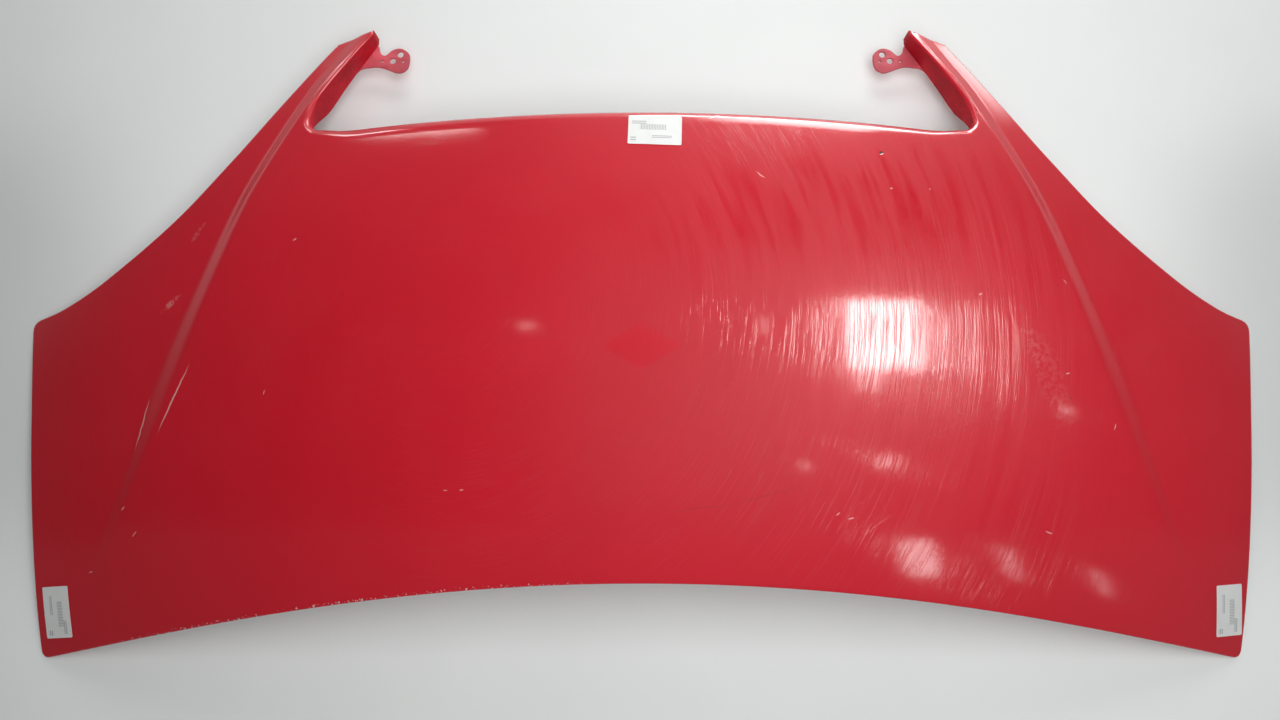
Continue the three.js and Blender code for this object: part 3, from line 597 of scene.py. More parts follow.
LOOP_INSETS = [-7, -4, -2, -0.8, 0.3, 1.5, 3, 4.5, 5.8, 6.8, 7.8, 9, 11, 14.5,
               OPENING_WALL_RUN + OPENING_FLANGE]
BEADS = [[[105, 190], [352, 165]], [[200, 225], [206, 545]], [[374, 200], [375, 262]],
         [[378, 338], [392, 505]], [[60, 590], [330, 575]], [[530, 150], [520, 400]]]
BEAD_HEIGHT = 2.2
# The striker's bolt holes, and the prop rod's hole, which is on one side only
HOLES = [(22, 160, 3.5), (372, 300, 8.5)]
PROP_HOLE_SIDE = -1
BOTH_SIDES_X = 100
# How many rows along each edge keep their lines as edges of the net, so that the ramps are even
EDGE_ROWS = 8


def circle(x, y, radius, sides=32):
    turn = np.linspace(0, 2 * np.pi, sides, endpoint=False)
    return pair(x + radius * np.cos(turn), y + radius * np.sin(turn))


def inner_panel():
    main, wing = plan_grid()
    hem = hem_chain(main, wing)
    wall = wall_chain(main, wing)
    wall_out = chain_outward(wall)
    wall_plan = wall + wall_out * (wall_reach(wall) - SHEET - GAP)[:, None]
    wall_plan[-1, 0] = 0
    outline = np.concatenate([hem[:-1], wall_plan])
    grid = np.concatenate([main[1:-1].reshape(-1, 2), wing[1:-1, 1:-1].reshape(-1, 2)])
    loops = [opening_loop(corners, inset) for corners in OPENINGS for inset in LOOP_INSETS]
    loops += [circle(x, y, radius + more) for x, y, radius in HOLES for more in (0, 2)]
    keep = np.ones(len(grid), bool)
    for x, y, radius in HOLES:
        keep &= np.hypot(grid[:, 0] - x, grid[:, 1] - y) > radius + 4
    for corners in OPENINGS:
        keep &= ~inside(grid, opening_loop(corners, LOOP_INSETS[0] - 3))
    keep &= distance_to(grid, outline) > 1.2
    keep &= grid[:, 0] > 2
    middle = main[1:-1, 0, 1][::-1]
    seam = pair(0, middle[middle < outline[-1][1] - 1.5])
    border = np.concatenate([outline, seam])
    points = [border]
    edges = [(i, (i + 1) % len(border)) for i in range(len(border))]
    start = len(border)
    for loop in loops:
        edges += [(start + i, start + (i + 1) % len(loop)) for i in range(len(loop))]
        points.append(loop)
        start += len(loop)
    points.append(grid[keep])
    numbers = np.where(keep, np.cumsum(keep) - 1 + start, -1)
    main_numbers = numbers[:main[1:-1, :, 0].size].reshape(len(main) - 2, -1)
    wing_numbers = numbers[main_numbers.size:].reshape(len(wing) - 2, -1)
    for run in [*main_numbers[:EDGE_ROWS], *wing_numbers[:EDGE_ROWS], *wing_numbers[:, -EDGE_ROWS:].T]:
        edges += [(a, b) for a, b in zip(run[:-1].tolist(), run[1:].tolist()) if a >= 0 and b >= 0]
    flat = [Vector(point) for point in np.concatenate(points).tolist()]
    verts, _, faces, *_ = delaunay_2d_cdt(flat, edges, [], 1, 1e-4)
    plan = np.array([tuple(v) for v in verts])
    faces = np.array([f for f in faces if len(f) == 3])
    middles = plan[faces].mean(1)
    solid = np.ones(len(faces), bool)
    for corners in OPENINGS:
        solid &= ~inside(middles, opening_loop(corners, LOOP_INSETS[-1]))
    solid &= inside(middles, border)
    faces = faces[solid]
    used = np.unique(faces)
    renumber = np.full(len(plan), -1)
    renumber[used] = np.arange(len(used))
    plan, faces = plan[used], renumber[faces]
    a, b, c = (plan[faces[:, k]] for k in range(3))
    turned = (b[:, 0] - a[:, 0]) * (c[:, 1] - a[:, 1]) - (b[:, 1] - a[:, 1]) * (c[:, 0] - a[:, 0]) < 0
    faces[turned] = faces[turned][:, ::-1]

    x, y = plan.T
    to_hem = distance_to(plan, hem)
    to_wall = distance_to(plan, wall_plan)
    width = to_hem + np.where(y > 560, to_wall, 1000)
    band = np.minimum(HEM_BAND, 0.4 * width)
    toe = np.minimum(CHANNEL_TOE, 0.75 * width)
    ramp = smoothstep(to_hem, band - 0.5, toe)
    normal_z = normals_of(skin_z, x, y)[:, 2]
    seat = skin_z(x, y) - (SHEET + GAP) / normal_z
    rise = np.zeros(len(plan))
    for corners in OPENINGS:
        near = distance_to(plan, opening_loop(corners, 0), closed=True)
        signed = np.where(inside(plan, opening_loop(corners, 0)), near, -near)
        rise = np.maximum(rise, soft_clamp((signed + 0.5) / (OPENING_WALL_RUN + 0.5), 0.22))
    low = channel_z(x, y)
    for bead in BEADS:
        near = distance_to(plan, np.array(bead, float))
        low = low + BEAD_HEIGHT * (1 - smoothstep(near, 3, 10)) * (to_hem > CHANNEL_TOE)
    z = seat * (1 - ramp) + low * ramp
    z = z * (1 - rise) + (crown_z(x, y) - SEAT_DEPTH) * rise
    sheet = Sheet()
    sheet.add(np.stack([x, y, z], -1), faces)
    foot = np.array([z[np.argmin(np.linalg.norm(plan - p, axis=1))] for p in wall_plan[3:]])
    lip = [np.concatenate([wall_plan[3:], (foot + up)[:, None]], 1) for up in (0, 1.5, 3, 5.5, UPTURN)]
    sheet.add_rows(np.stack(lip)[::-1])
    points, faces = sheet.mirrored().merged()
    centres = np.array([points[face].mean(0) for face in faces])
    open_here = np.zeros(len(faces), bool)
    for x, y, radius in HOLES:
        cut = np.hypot(abs(centres[:, 0]) - x, centres[:, 1] - y) < radius
        open_here |= cut & ((centres[:, 0] * PROP_HOLE_SIDE > 0) | (x < BOTH_SIDES_X))
    return points, [face for face, cut in zip(faces, open_here) if not cut]


# Materials. A Value is one output of a node: arithmetic on it adds the nodes that work it out.

class Value:
    def __init__(self, tree, socket):
        self.tree = tree
        self.socket = socket

    def math(self, operation, other=0.0, clamp=False):
        return node(self.tree, "Math", {0: self, 1: other}, operation=operation, use_clamp=clamp)

    def __add__(self, other):
        return self.math("ADD", other)

    def __sub__(self, other):
        return self.math("SUBTRACT", other)

    def __mul__(self, other):
        return self.math("MULTIPLY", other)

    def __abs__(self):
        return self.math("ABSOLUTE")

    def most(self, other):
        return self.math("MAXIMUM", other)

    def length(self):
        return node(self.tree, "VectorMath", {0: self}, "Value", operation="LENGTH")

    def between(self, low, high, out_low=0.0, out_high=1.0):
        ends = {"Value": self, "From Min": low, "From Max": high, "To Min": out_low, "To Max": out_high}
        return node(self.tree, "MapRange", ends, "Result", interpolation_type="SMOOTHSTEP")

    def blend(self, a, b):
        return node(self.tree, "Mix", {"Factor": self, "A": a, "B": b}, "Result", data_type="RGBA")

    def noise(self, scale, detail=3.0, roughness=0.55):
        inputs = {"Vector": self, "Scale": scale, "Detail": detail, "Roughness": roughness}
        return node(self.tree, "TexNoise", inputs, "Fac")

    def bump(self, distance, strength):
        return node(self.tree, "Bump", {"Height": self, "Distance": distance, "Strength": strength}, "Normal")

    def split(self):
        made = self.tree.nodes.new("ShaderNodeSeparateXYZ")
        self.tree.links.new(self.socket, made.inputs[0])
        return [Value(self.tree, output) for output in made.outputs]


def node(tree, kind, inputs=None, output=0, **settings):
    made = tree.nodes.new("ShaderNode" + kind)
    for key, value in settings.items():
        setattr(made, key, value)
    for key, value in (inputs or {}).items():
        if isinstance(value, Value):
            tree.links.new(value.socket, made.inputs[key])
        else:
            made.inputs[key].default_value = value
    return Value(tree, made.outputs[output]) if made.outputs else None


def new_material(name):
    """The material, its node tree and the place on the object, in metres."""
    material = bpy.data.materials.new(name)
    material.use_nodes = True
    tree = material.node_tree
    tree.nodes.clear()
    return material, tree, node(tree, "TexCoord", output="Object")


def surface(material, shader):
    node(material.node_tree, "OutputMaterial", {"Surface": shader})
    return material


def laid_at(where, x, y, angle, scale):
    """The place seen from a plan point, turned and scaled with what lies there."""
    at = {"Vector": where, "Location": (x / 1000, (y - MIDDLE_Y) / 1000, 0),
          "Rotation": (0, 0, math.radians(angle)), "Scale": scale}
    return node(where.tree, "Mapping", at, vector_type="TEXTURE")


GRAIN = 300
GRAIN_DEPTH = 0.0002


def simple(name, colour, roughness, metallic=0.0, specular=0.5):
    material, tree, where = new_material(name)
    speck = where.noise(GRAIN)
    dark = [part * 0.7 for part in colour]
    tint = where.noise(GRAIN / 12).between(0.35, 0.7).blend((*dark, 1), (*colour, 1))
    rough = speck.between(0.3, 0.7, roughness * 0.85, roughness * 1.15)
    return surface(material, node(tree, "BsdfPrincipled", {
        "Base Color": tint, "Roughness": rough, "Metallic": metallic, "Specular IOR Level": specular,
        "Normal": speck.bump(GRAIN_DEPTH, 0.5)}))


def polar_streaks(where, centre, rings, arcs):
    tree = where.tree
    x, y, _ = node(tree, "VectorMath", {0: where, 1: (*centre, 0)}, operation="SUBTRACT").split()
    radius = (x * x + y * y).math("SQRT")
    turn = y.math("ARCTAN2", x)
    return node(tree, "CombineXYZ", {"X": radius * rings, "Y": turn * arcs}).noise(1.0, 2.0)


def spots(where, rows):
    total = None
    for x, y, angle, length, width, strength in rows:
        away = laid_at(where, x, y, angle, (length / 2000, width / 2000, 1000)).length()
        share = away.between(1.1, 0.5, 0.0, strength)
        total = share if total is None else total.most(share)
    return total


# x, y, angle, length and width of each mark, in the plan's millimetres, and how strong it is
SCRATCHES_AND_GLINTS = [
    (83, 616, 20, 16, 1.6, 0.8), (132, 544, -35, 14, 1.3, 0.7), (280, 533, 10, 5, 2, 0.7),
    (326, 535, 60, 4, 2, 0.6), (376, 413, 30, 5, 2, 0.7), (483, 433, -50, 7, 1.5, 0.7),
    (477, 327, 15, 6, 2, 0.6), (534, 268, 70, 9, 1.6, 0.7), (449, 151, -20, 10, 1.5, 0.7),
    # The marks at (-529, 300) and (-571, 272) are not scratches. They are painted highlights: pale lines along the
    # left swage's two creases, for the glints of light on them.
    (223, 168, 5, 7, 1.6, 0.7), (209, 173, 40, 5, 1.6, 0.6), (-529, 300, 64.6, 90, 2.4, 0.7),
    (-571, 272, 75.5, 64, 2.2, 0.65), (-416, 304, 80, 6, 1.6, 0.6), (-391, 478, 30, 6, 2, 0.6),
    (-575, 148, 50, 9, 1.6, 0.7), (-591, 176, 45, 7, 1.6, 0.7), (-635, 103, 20, 6, 2, 0.7),
    (-208, 198, 0, 5, 1.6, 0.6), (-191, 198, 0, 5, 1.6, 0.6),
]
CHIPS = [(272, 577, 25, 7, 4.5, 1.0), (480, 300, 0, 2.4, 2, 0.8), (-330, 410, 0, 2.2, 2, 0.7),
         (60, 300, 0, 2, 1.8, 0.7), (62, 179, 7, 76, 1.8, 0.2), (130, 192, 16, 76, 1.8, 0.2)]
SCUFFS = [(-546, 411, 40, 34, 8, 0.3), (-519, 497, 55, 30, 7, 0.25), (438, 353, -70, 70, 24, 0.1),
          (466, 285, -60, 50, 26, 0.1), (455, 320, -72, 140, 44, 0.06)]
# Where the wipe marks show, and where their finest lines do
RUBBED = [(240, 380, 0, 620, 640, 1.0), (300, 180, 0, 460, 300, 0.8), (-60, 240, 0, 500, 360, 0.4)]
BRUSHED = [(305, 366, 0, 270, 320, 1.0)]
# The middles of the round wipes and of the few lines that cross them, in metres
WIPE_MIDDLE = (-0.207, 0.02)
CROSS_MIDDLE = (0.75, -0.9)
# The middle of the run of bare primer along the front edge
PRIMER_X = -0.33


def front_edge_flecks(where):
    x, y, _ = where.split()
    s = x.math("DIVIDE", CORNER_X / 1000).math("POWER", 2)
    bow = s * -(1 + FRONT_FLATNESS) + s * s * FRONT_FLATNESS
    behind = y - (bow * (FRONT_ARCH / 1000) + (FRONT_ARCH - MIDDLE_Y) / 1000)
    flecks = where.noise(380, 1).between(0.62, 0.68)
    return behind.between(0.0035, 0.0005) * flecks * abs(x - PRIMER_X).between(0.3, 0.2)


def paint_material(name):
    material, tree, where = new_material(name)
    wander = node(tree, "VectorMath", {0: where.noise(90, 2), 1: (0.5, 0.5, 0.5)}, operation="SUBTRACT")
    bent = node(tree, "VectorMath", {0: wander, 1: (0.004, 0.004, 0), 2: where}, operation="MULTIPLY_ADD")
    film = where.noise(14, 5, 0.65)

    rubbed = spots(where, RUBBED)
    arcs = polar_streaks(where, WIPE_MIDDLE, 640, 4).between(0.52, 0.66)
    cross = polar_streaks(where, CROSS_MIDDLE, 300, 7).between(0.64, 0.72, 0, 0.5)
    patchy = where.noise(6, 2).between(0.4, 0.6, 0.25, 1)
    lines = arcs.most(cross) * (patchy * (rubbed * 0.85 + 0.15))
    fine = polar_streaks(where, WIPE_MIDDLE, 900, 3).between(0.53, 0.62) * spots(where, BRUSHED)
    haze = polar_streaks(where, WIPE_MIDDLE, 70, 3).between(0.38, 0.62) * rubbed
    scratches_and_glints = spots(bent, SCRATCHES_AND_GLINTS)
    scuffs = spots(bent, SCUFFS) * bent.noise(160, 4, 0.7).between(0.42, 0.6)
    chips = spots(bent, CHIPS)
    primer = front_edge_flecks(where)
    worn_in = chips.most(primer).most(scratches_and_glints * 0.4)

    tint = where.noise(2.2, 4).between(0.3, 0.7).blend((0.53, 0.005, 0.017, 1), (0.585, 0.006, 0.021, 1))
    tint = film.between(0.5, 0.8, 0, 0.008).blend(tint, (0.6, 0.25, 0.25, 1))
    # Pale marks: scratches, scuffs and wipe lines, plus a painted highlight along the left swage's creases
    tint = scratches_and_glints.most(scuffs).most(lines * 0.04).blend(tint, (0.72, 0.45, 0.43, 1))
    tint = chips.blend(tint, (0.09, 0.03, 0.02, 1))
    tint = primer.blend(tint, (0.62, 0.58, 0.55, 1))
    rough = film.between(0.3, 0.75, 0.46, 0.6) - haze * 0.2 - lines * 0.1
    height = where.noise(260, 2) * 0.05 - worn_in - lines * 0.3 - fine * 0.38
    bump = height.bump(0.0003, 0.6)
    return surface(material, node(tree, "BsdfPrincipled", {
        "Base Color": tint, "Roughness": rough.math("ADD", worn_in * 0.2, clamp=True), "Normal": bump,
        "Specular IOR Level": 0.16, "Coat Normal": bump, "Coat Weight": 1.0, "Coat Roughness": 0.09}))


paint = paint_material("red_paint")
paint_under = simple("red_paint_under", (0.4, 0.008, 0.018), 0.5, specular=0.3)
paint_matte = simple("red_paint_flange", (0.66, 0.012, 0.03), 0.6, specular=0.12)
paint_lug = simple("red_paint_lug", (0.72, 0.1, 0.135), 0.6, specular=0.3)
zinc = simple("zinc_plate", (0.52, 0.5, 0.42), 0.38, 1.0)
rubber = simple("black_rubber", (0.02, 0.02, 0.021), 0.75)
plastic = simple("black_plastic", (0.03, 0.03, 0.032), 0.5)
sealer = simple("mastic", (0.3, 0.28, 0.25), 0.8)


# The floor, which keeps the object's shadow, has painted shade in bands to both sides and fades to a pale ground far
# away

FLOOR_REACH = 7
PALE_GROUND = (0.8, 0.84, 0.82, 1)


def floor_material():
    material, tree, where = new_material("floor")
    x, y, _ = where.split()
    # Bands to the left and right of the object are darker: painted shade, for the room's light falling off there. A
    # faint random mottle lies over all of the floor.
    shaded_sides = abs(x).between(0.5, 0.85) * abs(y).between(0.42, 0.1)
    mottle_and_shade = where.noise(3).between(0.3, 0.7, 0.97, 1.0) * shaded_sides.between(0, 1, 1, 0.78)
    tint = node(tree, "VectorMath", {0: (0.89, 0.915, 0.905), "Scale": mottle_and_shade}, operation="SCALE")
    lit = node(tree, "BsdfDiffuse", {"Color": tint})
    pale = node(tree, "Emission", {"Color": PALE_GROUND, "Strength": 1.0})
    share = where.length().between(0.9, 1.7) * node(tree, "LightPath", output="Is Camera Ray")
    return surface(material, node(tree, "MixShader", {0: share, 1: lit, 2: pale}))


floor_mesh = bpy.data.meshes.new("floor")
floor_corners = [(x * FLOOR_REACH, y * FLOOR_REACH, 0) for x, y in ((-1, -1), (1, -1), (1, 1), (-1, 1))]
floor_mesh.from_pydata(floor_corners, [], [[0, 1, 2, 3]])
floor_mesh.materials.append(floor_material())
new_object("floor", floor_mesh)


# Pieces

def finished(piece, slot, *replaced):
    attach(piece, "root")
    if replaced:
        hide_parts(*replaced)
    return piece


def add_sheet(name, points, faces, slot, replaced, top, below):
    solid, loops, (tops, unders, rims) = thickened(points, faces, SHEET)
    indices = [0] * tops + [1] * (unders + rims)
    return finished(make_mesh(name, solid, loops, [top, below], indices), slot, replaced)


def paint_walls(piece, index):
    """The turned-down walls by the windscreen keep a duller paint."""
    for face in piece.data.polygons:
        y = face.center[1] * 1000 + MIDDLE_Y
        if face.material_index == 0 and face.normal[2] < 0.3 and y > 560:
            face.material_index = index


skin = add_sheet("bonnet_skin", *outer_skin(), "red_paint", "outer_skin", paint, paint_under)
skin.data.materials.append(paint_matte)
paint_walls(skin, 2)
add_sheet("bonnet_inner", *inner_panel(), "red_paint", "inner_panel", paint_under, paint_under)


# Fittings, made in millimetres round their own middle and then set in place

def seat(x, y, height=channel_z):
    at = np.array([x]), np.array([y])
    normal = Vector(normals_of(height, *at)[0])
    turn = Vector((0, 0, 1)).rotation_difference(normal).to_matrix().to_4x4()
    return Matrix.Translation(Vector(place([x, y, height(*at)[0]]))) @ turn @ Matrix.Scale(0.001, 4)


def settle(mesh, matrix, material, smooth_angle=SMOOTH_ANGLE):
    mesh.transform(matrix)
    mesh.materials.clear()
    mesh.materials.append(material)
    mesh.shade_smooth()
    mesh.set_sharp_from_angle(angle=math.radians(smooth_angle))
    return new_object(mesh.name, mesh)


def cut_plate(name, loops, low, high, edge, matrix, material):
    curve = bpy.data.curves.new(name, "CURVE")
    curve.dimensions = "2D"
    curve.fill_mode = "BOTH"
    for k, loop in enumerate(loops):
        loop = loop if k == 0 else loop[::-1]
        spline = curve.splines.new("POLY")
        spline.points.add(len(loop) - 1)
        for point, (x, y) in zip(spline.points, loop):
            point.co = (x, y, 0, 1)
        spline.use_cyclic_u = True
    curve.extrude = (high - low) / 2 - edge
    curve.bevel_depth = edge
    curve.bevel_resolution = 2
    curve.offset = -edge
    holder = bpy.data.objects.new(name, curve)
    mesh = bpy.data.meshes.new_from_object(holder)
    mesh.name = name
    bpy.data.objects.remove(holder)
    work = bmesh.new()
    work.from_mesh(mesh)
    bmesh.ops.remove_doubles(work, verts=work.verts, dist=1e-4)
    work.to_mesh(mesh)
    work.free()
    return settle(mesh, matrix @ Matrix.Translation((0, 0, (low + high) / 2)), material)


def net_mesh(name, rows):
    sheet = Sheet()
    sheet.add_rows(rows)
    points, faces = sheet.merged()
    mesh = bpy.data.meshes.new(name)
    mesh.from_pydata(points.tolist(), [], faces)
    return mesh


def turned(name, profile, sides, matrix, material):
    turn = np.linspace(0, 2 * np.pi, sides, endpoint=False)
    net = np.stack([np.stack([r * np.cos(turn), r * np.sin(turn), np.full(sides, z)], -1) for r, z in profile])
    mesh = net_mesh(name, np.concatenate([net, net[:, :1]], axis=1))
    mesh.validate()
    return settle(mesh, matrix, material)


def smooth_loop(corners, per_span=6):
    corners = np.array(corners, float)
    t = np.arange(per_span)[:, None] / per_span
    loop = []
    for i in range(len(corners)):
        a, b, c, d = (corners[(i + k) % len(corners)] for k in (-1, 0, 1, 2))
        loop.append(0.5 * (2 * b + (c - a) * t + (2 * a - 5 * b + 4 * c - d) * t ** 2
                           + (3 * b - a - 3 * c + d) * t ** 3))
    return np.concatenate(loop)


def rounded_plate(width, length, corner):
    w, l = width / 2, length / 2
    return rounded_outline(np.array([[-w, -l], [w, -l], [w, l], [-w, l]], float), corner, [1] * 4, 6)


HINGE_PLATE_OUTLINE = [
    [352, 715], [338, 719], [327, 719.5], [317, 716.5], [306, 712.5], [298, 712.8], [291, 719],
    [289, 732], [292, 739], [301, 743.8], [311, 741.5], [320, 734.5], [326, 738], [329, 747],
    [338, 748], [354, 737], [372, 716], [389, 692], [396, 674], [382, 674], [368, 693],
]
HINGE_HOLES = [(301, 735.8, 3.75), (310.3, 727.4, 3.75), (323.5, 727, 1.5), (297.4, 726.8, 1.5)]
HINGE_TOP = HINGE_SEAT_Z - GAP
HINGE_THICKNESS = 3
SIDES = [(1, "left"), (-1, "right")]
in_plan = Matrix.Translation(Vector(place([0, 0, 0]))) @ Matrix.Scale(0.001, 4)
for side, name in SIDES:
    outline = smooth_loop(HINGE_PLATE_OUTLINE) * [side, 1]
    holes = [circle(side * x, y, radius) for x, y, radius in HINGE_HOLES]
    lug = cut_plate(f"hinge_lug_{name}", [outline[::side], *holes], HINGE_TOP - HINGE_THICKNESS, HINGE_TOP, 0.5,
                    in_plan, paint_lug)
    finished(lug, "red_paint", f"hinge_plate_{name}")

# The striker, on its backing plate. TOP is the height of its base's upper face under the channel.
BOLT_X = 22
BOLT_HOLE_RADIUS = 3.3
TOP = -SHEET / 2 - 0.9
PLATE = 2
ROD_RADIUS = 3.5
ROD_DROP = 34
ROD_HALF_WIDTH = 11
THREADS = 14
latch = seat(0, 160)
bolt_holes = [circle(x, 0, BOLT_HOLE_RADIUS) for x in (-BOLT_X, BOLT_X)]
plate = cut_plate("latch_backing", [rounded_plate(120, 56, 8), *bolt_holes], 0.7, 2.7, 0.35, latch, paint_under)
finished(plate, "red_paint", "latch_reinforcement")
base = cut_plate("striker_base", [rounded_plate(62, 30, 6), *bolt_holes], TOP - PLATE, TOP, 0.35, latch, zinc)
finished(base, "zinc_plate", "striker")
bend_z = TOP - ROD_DROP + ROD_HALF_WIDTH
bend = [(ROD_HALF_WIDTH * math.cos(a), 0, bend_z + ROD_HALF_WIDTH * math.sin(a))
        for a in np.linspace(math.pi, 2 * math.pi, 25)]
legs = [[(side * ROD_HALF_WIDTH, 0, TOP - drop) for drop in (1, 8, 15)] for side in (-1, 1)]
line = np.array([*legs[0], *bend, *legs[1][::-1]])
along = np.gradient(line, axis=0)
along /= np.linalg.norm(along, axis=1, keepdims=True)
across = np.cross(along, [0, 1, 0])
turn = np.linspace(0, 2 * np.pi, 29)[None, :, None]
tube = ROD_RADIUS * (np.cos(turn) * across[:, None] + np.sin(turn) * np.array([0, 1.0, 0]))
rod = settle(net_mesh("striker_rod", line[:, None] + tube), latch, zinc, 60)
finished(rod, "zinc_plate")

HEXAGON = circle(0, 0, 10 / math.sqrt(3), 6)
for side, name in SIDES:
    at = latch @ Matrix.Translation((side * BOLT_X, 0, 0))
    under = TOP - PLATE - 0.3
    head = cut_plate(f"bolt_head_{name}", [HEXAGON], under - 4, under, 0.5, at, zinc)
    finished(head, "zinc_plate", f"striker_bolt_{name}")
    threads = [(0, under - 1), (3, under - 1)]
    for k in range(THREADS):
        threads += [(3, under + 0.3 + k), (2.7, under + 0.8 + k)]
    threads += [(2.4, under + THREADS), (0, under + THREADS)]
    finished(turned(f"bolt_shank_{name}", threads, 24, at, zinc), "zinc_plate")
    nut = cut_plate(f"nut_{name}", [HEXAGON, circle(0, 0, BOLT_HOLE_RADIUS)], 3.0, 8.0, 0.5, at, zinc)
    finished(nut, "zinc_plate", f"striker_nut_{name}")

# Radius and height of each turn in the profiles of the buffers and the prop rod's socket
BUFFER = [(0, -13), (4.6, -13), (5.7, -12.7), (6.8, -12), (7.6, -11), (8, -9.8), (8, -8.4), (7.5, -8), (7.5, -7.2),
          (8, -6.8), (8, -4.6), (8.6, -3.9), (10.8, -3.2), (11.6, -2.8), (12, -2.2), (12, -0.8), (11.6, -0.2),
          (11, 0), (0, 0)]
SOCKET = [(4.5, 4), (4.5, -1.6), (4.9, -2.2), (5.6, -2.5), (11.6, -2.5), (12.4, -2.3), (12.9, -1.7), (13, -1),
          (13, -0.3), (12.7, 0), (8, 0), (8, 3.3), (7.4, 4), (4.5, 4)]
for side, name in SIDES:
    profile = [(radius, TOP + z) for radius, z in BUFFER]
    stop = turned(f"buffer_{name}", profile, 64, seat(side * 600, 84), rubber)
    finished(stop, "black_rubber", f"rubber_buffer_{name}")
profile = [(radius, -SHEET / 2 - 0.6 + z) for radius, z in SOCKET]
finished(turned("prop_socket", profile, 64, seat(-372, 300), plastic), "black_plastic", "prop_rod_socket")


# Labels: thin sheets that follow the skin, with a generic pattern of bars

LABEL_CORNER = 1.6
LABEL_LIFT = SHEET / 2 + 0.45 + 0.1
LABEL_THICKNESS = 0.2
# Each block's middle, width and height on the label, whether its bars stand upright, and their pitch
LABEL_BARS = [((-2, 4), 30, 7, True, 0.9), ((-18, 10), 16, 5, False, 1.2), ((8, -8), 22, 3, False, 1.0),
              ((-24, -12), 6, 6, False, 1.4)]


def label_lines(length):
    near_ends = [LABEL_CORNER * 0.3, LABEL_CORNER, length - LABEL_CORNER, length - LABEL_CORNER * 0.3]
    return np.unique(np.concatenate([np.linspace(0, length, round(length / 2) + 1), near_ends]))


def rounded_off(at, shy, length):
    low = LABEL_CORNER - shy + np.maximum(at - LABEL_CORNER, 0)
    high = length - LABEL_CORNER + shy - np.maximum(length - LABEL_CORNER - at, 0)
    return np.where(at < length / 2, low, high)


def label_sheet(name, x, y, angle, along, across, replaced):
    u, v = np.meshgrid(label_lines(along), label_lines(across))
    shy_u = np.maximum(LABEL_CORNER - np.minimum(u, along - u), 0)
    shy_v = np.maximum(LABEL_CORNER - np.minimum(v, across - v), 0)
    pull = np.where(shy_u * shy_v > 0, np.maximum(np.hypot(shy_u, shy_v) / LABEL_CORNER, 1), 1)
    right = rounded_off(u, shy_u / pull, along) - along / 2
    up = rounded_off(v, shy_v / pull, across) - across / 2
    turn = math.radians(angle)
    px = x + right * math.cos(turn) - up * math.sin(turn)
    py = y + right * math.sin(turn) + up * math.cos(turn)
    sheet = Sheet()
    sheet.add_rows(np.stack([px, py, skin_z(px, py)], -1) + normals_of(skin_z, px, py) * LABEL_LIFT)
    solid, loops, _ = thickened(*sheet.merged(), LABEL_THICKNESS)
    piece = make_mesh(name, solid, loops, [label_paper(name, x, y, angle, across > along)])
    return finished(piece, "label_paper", replaced)


def label_paper(name, x, y, angle, tall):
    material, tree, where = new_material(f"{name}_paper")
    u, v, _ = laid_at(where, x, y, angle, (0.001, 0.001, 0.001)).split()
    if tall:
        u, v = v, u
    ink = None
    for middle, width, height, upright, pitch in LABEL_BARS:
        stripe = (u if upright else v).math("PINGPONG", pitch)
        near = abs(u - middle[0]).math("LESS_THAN", width / 2) * abs(v - middle[1]).math("LESS_THAN", height / 2)
        near = near * stripe.between(pitch * 0.35, pitch * 0.65)
        ink = near if ink is None else ink.most(near)
    fibre = where.noise(900, 3)
    grime = where.noise(60, 3).between(0.4, 0.8, 0, 0.12)
    tint = grime.blend((0.76, 0.77, 0.76, 1), (0.5, 0.48, 0.45, 1))
    return surface(material, node(tree, "BsdfPrincipled", {
        "Base Color": (ink * 0.6).blend(tint, (0.12, 0.12, 0.12, 1)),
        "Roughness": fibre.between(0.3, 0.7, 0.5, 0.65), "Normal": fibre.bump(0.00005, 0.4)}))


label_sheet("label_sheet_rear", 15, 597, -2, 60, 36, "label_rear")
label_sheet("label_sheet_left", 688, 57, 2, 36, 60, "label_front_left")
label_sheet("label_sheet_right", -683, 55, 5, 36, 60, "label_front_right")


# Mastic pads: pressed beads at the openings' flanges

MASTIC_GAP = 0.75
both = [np.array(corners, float) for corners in OPENINGS]
both += [(corners * [-1, 1])[::-1] for corners in both]
for i, corners in enumerate(both):
    loop = inset_corners(corners, OPENING_WALL_RUN + OPENING_FLANGE / 2 + 1)
    middle = (loop[1] + loop[2]) / 2
    low, high = -SEAT_DEPTH + SHEET / 2 + MASTIC_GAP, -SHEET / 2 - MASTIC_GAP
    pad = cut_plate(f"mastic_bead_{i + 1}", [rounded_plate(8, 26, 3)], low, high, 1.4, seat(*middle, crown_z), sealer)
    finished(pad, "mastic", f"mastic_pad_{i + 1}")


# Lights

def area_light(name, at, towards, size, radiance):
    lamp = bpy.data.lights.new(name, "AREA")
    lamp.shape = "RECTANGLE"
    lamp.size, lamp.size_y = size
    lamp.energy = radiance * math.pi * size[0] * size[1]
    light = new_object(name, lamp)
    light.location = at
    light.rotation_euler = (Vector(towards) - Vector(at)).to_track_quat("-Z", "Y").to_euler()
    light.visible_camera = False
    light.visible_glossy = False


CARD_MIDDLE = np.array([0.25, 0, 0.15])
CARD_POINTS = 17


